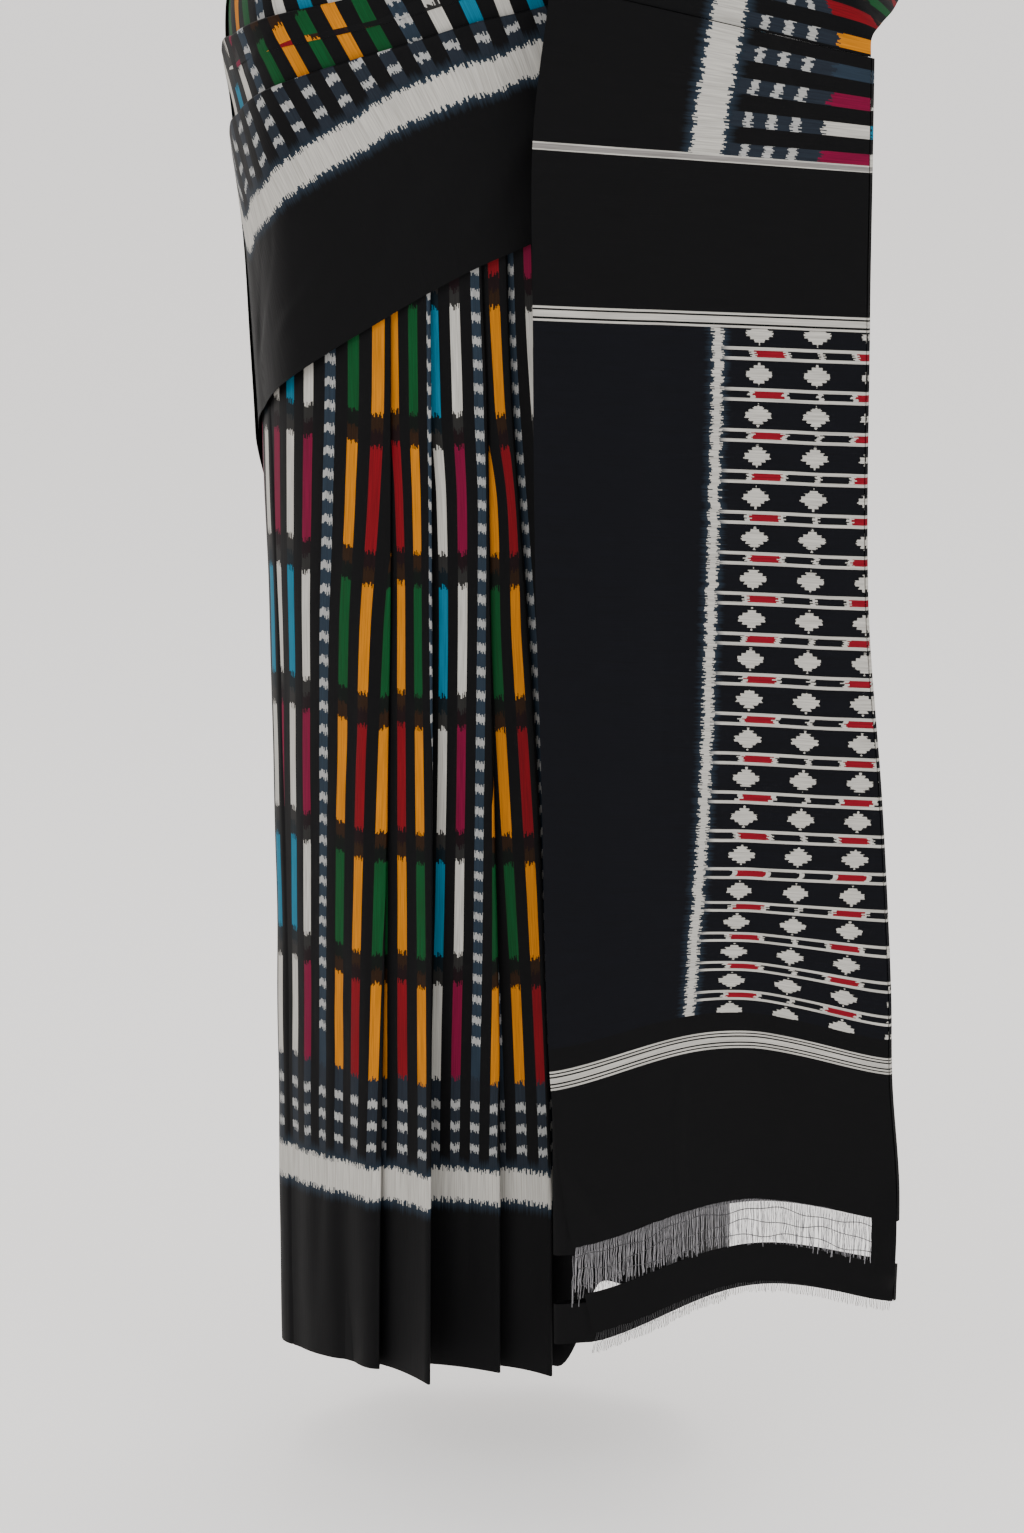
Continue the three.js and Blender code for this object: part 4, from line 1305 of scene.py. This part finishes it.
@dataclass(frozen=True)
class EndForm:
    """Form of the hanging end, which its cloths and threads share."""

    ripples: tuple[tuple[float, float, float], ...] = ((0.6, 6.5, 0.4), (0.2, 10, 0))
    arch: float = 22.0
    arch_heights: tuple[float, float] = (640, 800)
    arch_power: float = 1.3
    layer_step: float = 3.4
    hang: float = 9.0            # the folded layers hang this much lower at their left
    hang_heights: tuple[float, float] = (800, 970)
    widen: float = 0.04
    widen_heights: tuple[float, float] = (-250, -190)
    curl: float = 7.0            # the right edge curls forward above the open band
    curl_shares: tuple[float, float] = (0.92, 1.0)
    curl_starts: tuple[float, float] = (880, 925)
    curl_ends: tuple[float, float] = (945, 965)
    limits: tuple[float, float] = (-1, 1.4)
    guide_points: int = 160
    seed: int = 7
    creases: tuple[Crease, ...] = (
        Crease((165, -95), (205, -190), -1.1, 5), Crease((118, -885), (118, -790), 0.9, 3),
        Crease((40, -850), (80, -905), 1.3, 6), Crease((100, -240), (112, -700), -1.0, 14),
        Crease((200, -300), (205, -640), 1.2, 14), Crease((60, -420), (70, -760), 0.9, 12),
        Crease((150, -560), (175, -900), -1.1, 12), Crease((60, -120), (150, -250), -0.8, 12),
    )

    def point(self, z: np.ndarray | float, share: np.ndarray, layer: np.ndarray | float) -> np.ndarray:
        """Points of the end: share runs from its left edge to its right, layers step back.

        Args:
            z: Heights.
            share: Shares of the width, from the left.
            layer: Layers behind the outer one.

        Returns:
            Points, in a last axis of three.
        """
        z, share, layer = np.broadcast_arrays(np.asarray(z, float), share, layer)
        left, right = END.read("left", z), END.read("right", z)
        wave = sum(size * np.sin(rate * share + start) for size, rate, start in self.ripples)
        rise = smooth(-z, *self.arch_heights) * np.sin(np.pi * np.clip(share, 0, 1)) ** self.arch_power
        return np.stack([
            left + (right - left) * share,
            -END.read("front", z) - END.read("wave", z) * wave + self.layer_step * layer,
            z - END.read("drop", z) * share + self.arch * rise,
        ], -1)

    def inner_hang(self, z: float) -> float:
        """How much lower the folded layers hang at their left."""
        return self.hang * float(smooth(-z, *self.hang_heights))

    def cloth(self, name: str, heights: np.ndarray, shares: np.ndarray) -> Cloth:
        """A stretch of the outer layer.

        Args:
            name: Name of the cloth.
            heights: Its levels.
            shares: Its shares of the width.

        Returns:
            The cloth.
        """
        z, share = heights[:, None], shares[None, :]
        grid = self.point(z, share, 0.0)
        width = END.read("right", z) - END.read("left", z)
        weft = width * share * (1 + self.widen * smooth(z, *self.widen_heights))
        height = relief(self.creases, grid[..., 0], grid[..., 2])
        curl = self.curl * smooth(share, *self.curl_shares) * smooth(-z, *self.curl_starts)
        grid[..., 1] -= np.clip(height, *self.limits) + curl * (1 - smooth(-z, *self.curl_ends))
        return Cloth(name, grid, np.broadcast_to(end_warp(z), weft.shape), weft)

    def threads(self, row: "ThreadRow", name: str, z: float, span: tuple[float, float],
                layer: float = 0.0) -> bpy.types.Object:
        """Hangs a row of loose threads from a line across the end.

        Args:
            row: The threads.
            name: Name of the piece.
            z: Height of the line.
            span: Shares of the width where it starts and ends.
            layer: Layer it hangs from.

        Returns:
            The piece.
        """
        shares = np.linspace(*span, self.guide_points)
        path = self.point(z, shares, layer)
        path[:, 2] -= self.inner_hang(z) * (1 - shares) * min(layer, 1)
        guide = bpy.data.meshes.new(name + "_guide")
        guide.from_pydata((path * MM).tolist(), [(index, index + 1) for index in range(len(path) - 1)], [])
        piece = row.grow(add_object(guide.name, guide), name, self.seed)
        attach(piece, "root")
        log.info("%s: %d faces", name, len(piece.data.polygons))
        return piece


@dataclass(frozen=True)
class CrossThread:
    """One dark wavy thread across the open band."""

    number: int
    z: float
    points: int = 120
    layer: float = -0.12
    waves: tuple[tuple[float, float, float], ...] = ((1.4, 23, 2), (0.8, 51, 0))
    corners: tuple[tuple[float, float], ...] = ((0, 0.35), (0.3, -0.175), (-0.3, -0.175))

    def build(self, form: EndForm, material: bpy.types.Material) -> bpy.types.Object:
        """Makes the thread, three-sided and closed at both ends.

        Args:
            form: Form of the end piece.
            material: The thread's silk.

        Returns:
            The piece.
        """
        shares = np.linspace(0, LOBE, self.points)
        height = self.z + sum(size * np.sin(shares * rate + self.number * step)
                              for size, rate, step in self.waves)
        path = form.point(height, shares, self.layer)
        points = np.concatenate([path + np.array((0, side, up)) for side, up in self.corners]) * MM
        count = len(path)
        rails = ((0, count), (count, 2 * count), (2 * count, 0))
        faces = [(row + a, row + a + 1, row + b + 1, row + b) for row in range(count - 1) for a, b in rails]
        faces += [(0, count, 2 * count), (3 * count - 1, 2 * count - 1, count - 1)]
        mesh = bpy.data.meshes.new(f"cross_thread_{self.number}")
        mesh.from_pydata(points.tolist(), [], faces)
        mesh.materials.append(material)
        piece = add_object(mesh.name, mesh)
        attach(piece, "root")
        return piece


@dataclass(frozen=True)
class EndPiece:
    """The outer layer of the end piece, its open band of bare threads and its frayed edge."""

    form: EndForm
    columns: int = 110
    rows: int = 260
    strip_rows: int = 14
    lobe_columns: int = 14
    cross_heights: tuple[float, ...] = (-918.0, -927.0, -936.0)
    bare_span: tuple[float, float] = (0.01, LOBE)
    fray_span: tuple[float, float] = (0.01, 0.99)
    flat: tuple[float, float] = (0.21, 0.82)

    def build(self, silks: Silks) -> None:
        """Args:
            silks: The materials.
        """
        shares = np.linspace(0, 1, self.columns)
        low = np.linspace(END_LOW, OPEN_LOW, self.strip_rows)
        open_band = np.linspace(OPEN_LOW, OPEN_TOP, self.strip_rows)
        piece = self.form.cloth("end_layer", np.linspace(OPEN_TOP, END_TOP, self.rows), shares).build()
        strip = self.form.cloth("end_band", low, shares).build()
        lobe = self.form.cloth("end_corner", open_band, np.linspace(LOBE, 1, self.lobe_columns)).build()
        for cloth in (piece, strip, lobe):
            dress(cloth, "end_front", silks.end, "black_silk")
        row = ThreadRow(silks.pale_thread, 210, 33.0, 0.22, 0.9)
        bare = self.form.threads(row, "bare_threads", OPEN_TOP, self.bare_span)
        cross = [CrossThread(number, z).build(self.form, silks.cross_thread)
                 for number, z in enumerate(self.cross_heights)]
        for extra in (bare, *cross):
            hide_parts("end_front")
        row = ThreadRow(silks.dark_thread, 150, 8.0, 0.2, 1.4)
        fringe = self.form.threads(row, "end_fray", END_LOW, self.fray_span)
        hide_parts("end_fringe")


@dataclass(frozen=True)
class EndLayers:
    """The layers folded to and fro behind the end piece, with the same open band of bare threads."""

    form: EndForm
    turn: float = 1.7            # radius of a fold between two layers
    margin: float = 0.6
    reach: float = 0.985         # a layer runs to this share of the width
    layers: int = 3
    points: int = 30             # of one layer
    hidden: float = 70.0         # weft that the fold at the right hides
    rows: int = 140
    strip_rows: int = 10
    bare_span: tuple[float, float] = (0.0, 0.97)
    fray_span: tuple[float, float] = (0.0, 0.45)
    flat: tuple[float, float] = (0.66, 0.82)

    def level(self, z: float) -> tuple[np.ndarray, np.ndarray]:
        """One level through all the layers.

        Args:
            z: Its height.

        Returns:
            Points, and their places along the weft.
        """
        width = float(END.read("right", z) - END.read("left", z))
        turn = self.turn / width
        inset = float(END.read("inner", z) - END.read("left", z)) / width
        places = [(1 + self.margin / width, 0.0, 0.0), (1 + self.margin / width + turn, 0.5, 0.0)]
        for layer in range(1, self.layers + 1):
            to_left = layer % 2 == 1
            start, end = (self.reach, 0.0) if to_left else (0.0, self.reach)
            places += [(inset + (1 - inset) * share, layer, 1 - share)
                       for share in np.linspace(start, end, self.points)]
            if layer < self.layers:
                share = end + (-turn if to_left else turn)
                places.append((inset + (1 - inset) * share, layer + 0.5, max(0, 1 - share)))
        shares, layers, hangs = (np.array(part) for part in zip(*places))
        points = self.form.point(z, shares, layers)
        points[:, 2] -= self.form.inner_hang(z) * hangs
        strides = np.linalg.norm(np.diff(points, axis=0), axis=1)
        return points, width + self.hidden + np.concatenate([[0], np.cumsum(strides)])

    def cloth(self, name: str, heights: np.ndarray) -> Cloth:
        """A stretch of the layers, as one sheet."""
        grid, weft = (np.stack(part) for part in zip(*(self.level(z) for z in heights)))
        return Cloth(name, grid, np.broadcast_to(end_warp(heights)[:, None], weft.shape), weft)

    def build(self, silks: Silks) -> None:
        """Args:
            silks: The materials.
        """
        piece = self.cloth("end_layers_behind", np.linspace(OPEN_TOP, END_TOP, self.rows)).build()
        strip = self.cloth("end_bands_behind", np.linspace(END_LOW, OPEN_LOW, self.strip_rows)).build()
        for cloth in (piece, strip):
            dress(cloth, "end_folds", silks.end, "black_silk")
        row = ThreadRow(silks.pale_thread, 120, 38.0, 0.2, 1.2)
        bare = self.form.threads(row, "bare_threads_behind", OPEN_TOP, self.bare_span, 1.0)
        row = ThreadRow(silks.dark_thread, 90, 7.0, 0.2, 1.6)
        fray = self.form.threads(row, "inner_fray", END_LOW, self.fray_span, 1.0)
        for extra in (bare, fray):
            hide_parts("end_folds")


class ThreadRow(NodeTree):
    """Geometry Nodes tree that hangs wavy threads from a line."""

    INPUTS = (("Count", "NodeSocketInt"), ("Length", "NodeSocketFloat"), ("Thickness", "NodeSocketFloat"),
              ("Waviness", "NodeSocketFloat"), ("Seed", "NodeSocketInt"))
    STRAND_POINTS = 9
    LEAN = (0.09, 0.05, 1.0)     # a thread leans and turns up to this far, in radians
    SHORTEST = 0.82
    NOISE_SCALE = 160.0
    SWAY = 2.4

    def __init__(self, material: bpy.types.Material, count: int, length: float, thickness: float,
                 waviness: float) -> None:
        """Makes the tree.

        Args:
            material: Silk of the threads.
            count: How many threads hang.
            length: Length of the longest.
            thickness: Radius of a thread.
            waviness: How far a thread sways.
        """
        super().__init__(bpy.data.node_groups.new("hanging threads", "GeometryNodeTree"))
        self.sizes = {"Count": count, "Length": length * MM, "Thickness": thickness * MM,
                      "Waviness": waviness * MM}
        face = self.tree.interface
        face.new_socket("Geometry", in_out="INPUT", socket_type="NodeSocketGeometry")
        self.sockets = {name: face.new_socket(name, in_out="INPUT", socket_type=kind)
                        for name, kind in self.INPUTS}
        face.new_socket("Geometry", in_out="OUTPUT", socket_type="NodeSocketGeometry")
        self.add("NodeGroupInput")
        size = self.tree.nodes[-1].outputs
        row = self.add("GeometryNodeMeshToCurve", size["Geometry"])
        row = self.add("GeometryNodeResampleCurve", named={"Curve": row, "Count": size["Count"]})
        down = self.add("ShaderNodeMath", size["Length"], -1.0, operation="MULTIPLY")
        tip = self.add("ShaderNodeCombineXYZ", named={"Z": down})
        strand = self.add("GeometryNodeCurvePrimitiveLine", named={"End": tip})
        strand = self.add("GeometryNodeResampleCurve", named={"Curve": strand, "Count": self.STRAND_POINTS})
        ring = self.add("GeometryNodeCurvePrimitiveCircle",
                        named={"Resolution": 3, "Radius": size["Thickness"]})
        strand = self.add("GeometryNodeCurveToMesh",
                          named={"Curve": strand, "Profile Curve": ring, "Fill Caps": True})
        least = tuple(-value for value in self.LEAN)
        lean = self.add("FunctionNodeRandomValue", named={"Seed": size["Seed"], 0: least, 1: self.LEAN},
                        data_type="FLOAT_VECTOR")
        stretch = self.add("FunctionNodeRandomValue", named={"Seed": size["Seed"], 2: self.SHORTEST, 3: 1.0},
                           out=1, data_type="FLOAT")
        hung = self.add("GeometryNodeInstanceOnPoints",
                        named={"Points": row, "Instance": strand, "Rotation": lean, "Scale": stretch})
        loose = self.add("GeometryNodeRealizeInstances", hung)
        place = self.add("GeometryNodeInputPosition")
        noise = self.add("ShaderNodeTexNoise", out=1,
                         named={"Vector": place, "Scale": self.NOISE_SCALE, "Detail": 1.0})
        centred = self.add("ShaderNodeVectorMath", noise, (0.5, 0.5, 0.5), operation="SUBTRACT")
        sway = self.add("ShaderNodeMath", size["Waviness"], self.SWAY, operation="MULTIPLY")
        shift = self.add("ShaderNodeVectorMath", centred, named={"Scale": sway}, operation="SCALE")
        waved = self.add("GeometryNodeSetPosition", loose, named={"Offset": shift})
        coated = self.add("GeometryNodeSetMaterial", waved, named={"Material": material})
        self.add("NodeGroupOutput", coated)

    def grow(self, holder: bpy.types.Object, name: str, seed: int) -> bpy.types.Object:
        """Runs the tree on a guide line and keeps its result as a plain mesh.

        Args:
            holder: The guide line, which is removed.
            name: Name of the piece.
            seed: Seed of the random draws.

        Returns:
            The piece.
        """
        modifier = holder.modifiers.new("threads", "NODES")
        modifier.node_group = self.tree
        for key, value in {**self.sizes, "Seed": seed}.items():
            modifier[self.sockets[key].identifier] = value
        graph = bpy.context.evaluated_depsgraph_get()
        mesh = bpy.data.meshes.new_from_object(holder.evaluated_get(graph))
        mesh.name = name
        bpy.data.objects.remove(holder)
        return add_object(name, mesh)


@dataclass(frozen=True)
class Studio:
    """Pale grey studio: a floor that runs up into the backdrop, soft lights and the camera."""

    floor: float = -1.115
    wall: float = 9.0
    half_width: float = 40.0
    cove: float = 3.0
    cove_points: int = 12
    paper: Filament = Filament("Matt backdrop paper", "f0ece8", roughness=0.95)
    glow: tuple[str, float] = ("f3f1ef", 0.5)       # stands for the light that the walls of a room throw back
    sky: tuple[str, float] = ("f2f3f6", 1.0)
    aim: tuple[float, float, float] = (0.05, 0, -0.5)
    lens: float = 92.0
    sensor: float = 36.0
    lens_shift: float = -0.150
    camera: tuple[float, float, float] = (0.008, -2.6, 0.04)
    tilt: float = 79.0
    lights: tuple[tuple[str, tuple[float, float, float], float, float], ...] = (
        ("key", (-1.6, -2.4, 1.0), 1.6, 34.0),
        ("fill", (1.9, -2.0, 0.2), 1.8, 24.0),
        ("top", (0.2, 0.6, 2.2), 1.6, 30.0),
    )

    def backdrop(self) -> None:
        """Makes the floor and the backdrop."""
        bend = self.wall - self.cove
        profile = [(-4 * self.wall, self.floor), (bend, self.floor)]
        profile += [(bend + self.cove * math.sin(turn), self.floor + self.cove * (1 - math.cos(turn)))
                    for turn in np.linspace(0, math.pi / 2, self.cove_points)[1:]]
        profile += [(self.wall, 2 * self.wall)]
        points = [(x, y, z) for y, z in profile for x in (-self.half_width, self.half_width)]
        faces = [(2 * k, 2 * k + 1, 2 * k + 3, 2 * k + 2) for k in range(len(profile) - 1)]
        mesh = bpy.data.meshes.new("backdrop")
        mesh.from_pydata(points, [], faces)
        mesh.shade_smooth()
        paper = self.paper.material()
        inputs = paper.node_tree.nodes["Principled BSDF"].inputs
        inputs["Emission Color"].default_value = linear(self.glow[0])
        inputs["Emission Strength"].default_value = self.glow[1]
        mesh.materials.append(paper)
        add_object("backdrop", mesh)

    def build(self) -> None:
        """Makes the stage, the lights, the world and the camera."""
        self.backdrop()
        for name, place, size, power in self.lights:
            lamp = bpy.data.lights.new(name, "AREA")
            lamp.size, lamp.energy = size, power
            light = add_object(name, lamp)
            light.location = place
            aim = np.array(self.aim) - np.array(place)
            light.rotation_euler = (math.atan2(math.hypot(aim[0], aim[1]), -aim[2]), 0,
                                    math.atan2(aim[1], aim[0]) - math.pi / 2)
        world = bpy.data.worlds.new("studio")
        world.use_nodes = True
        sky = world.node_tree.nodes["Background"].inputs
        sky[0].default_value, sky[1].default_value = linear(self.sky[0]), self.sky[1]
        bpy.context.scene.world = world
        lens = bpy.data.cameras.new("camera")
        lens.lens, lens.sensor_width, lens.shift_y = self.lens, self.sensor, self.lens_shift
        camera = add_object("camera", lens)
        camera.location = self.camera
        camera.rotation_euler = (math.radians(self.tilt), 0, 0)
        bpy.context.scene.camera = camera


BORDER_CREASES = (
    Crease((196, -340), (214, -230), -1.2, 3), Crease((215, -320), (238, -250), 1.3, 3),
    Crease((236, -300), (262, -180), -1.1, 4), Crease((262, -260), (280, -160), 1.0, 3),
)
UPPER_CREASES = (Crease((205, -150), (226, -120), 0.9, 3), Crease((250, -110), (268, -84), -0.8, 3))
CLIMB_CREASES = (
    Crease((60, -150), (120, 150), 1.8, 9), Crease((90, 0), (110, 300), -1.8, 9),
    Crease((60, 40), (80, 300), 1.6, 8), Crease((130, 60), (150, 300), 1.4, 7),
)
SWING_CREASES = (
    Crease((120, 320), (200, 140), 1.8, 9), Crease((100, 260), (230, 60), -1.6, 10),
    Crease((250, 130), (150, 40), 1.6, 9), Crease((240, 60), (120, -20), -1.7, 10),
    Crease((230, 0), (90, -60), 1.5, 9), Crease((220, -60), (120, -100), -1.2, 8),
)


def main() -> None:
    """Builds the saree in its studio."""
    logging.basicConfig(level=logging.INFO, format="%(message)s")
    silks, wrap, form = Silks(), OverWrap(), EndForm()
    FirstTurn().build(silks)
    KnifePleats().build(silks)
    SecondTurn(wrap).build(silks)
    FrontTier(wrap, "border_tier", "border_fold", 0, "hem", "fold_one", (0.19, 0.30), 0.056, BORDER_CREASES,
              slot="black_silk", hidden=0.0).build(silks)
    FrontTier(wrap, "middle_tier", "middle_fold", 1, "fold_one", "fold_two", (0.08, 0.30), 0.023,
              UPPER_CREASES).build(silks)
    FrontTier(wrap, "upper_tier", "upper_fold", 2, "fold_two", "top", (0.15, 0.31), 0.041, UPPER_CREASES,
              folded=False).build(silks)
    ShoulderBand(wrap, "shoulder_band", "shoulder_drape", 0.0, BAND_CREST - CREST_GAP, (0.364, 0.45), 0.08,
                 CLIMB_CREASES).build(silks)
    ShoulderBand(wrap, "swing_band", "back_swing", BAND_CREST + CREST_GAP, BAND_END, (0.364, 0.90), 0.13,
                 SWING_CREASES).build(silks)
    EndPiece(form).build(silks)
    EndLayers(form).build(silks)
    Studio().build()


if __name__ == "__main__":
    main()
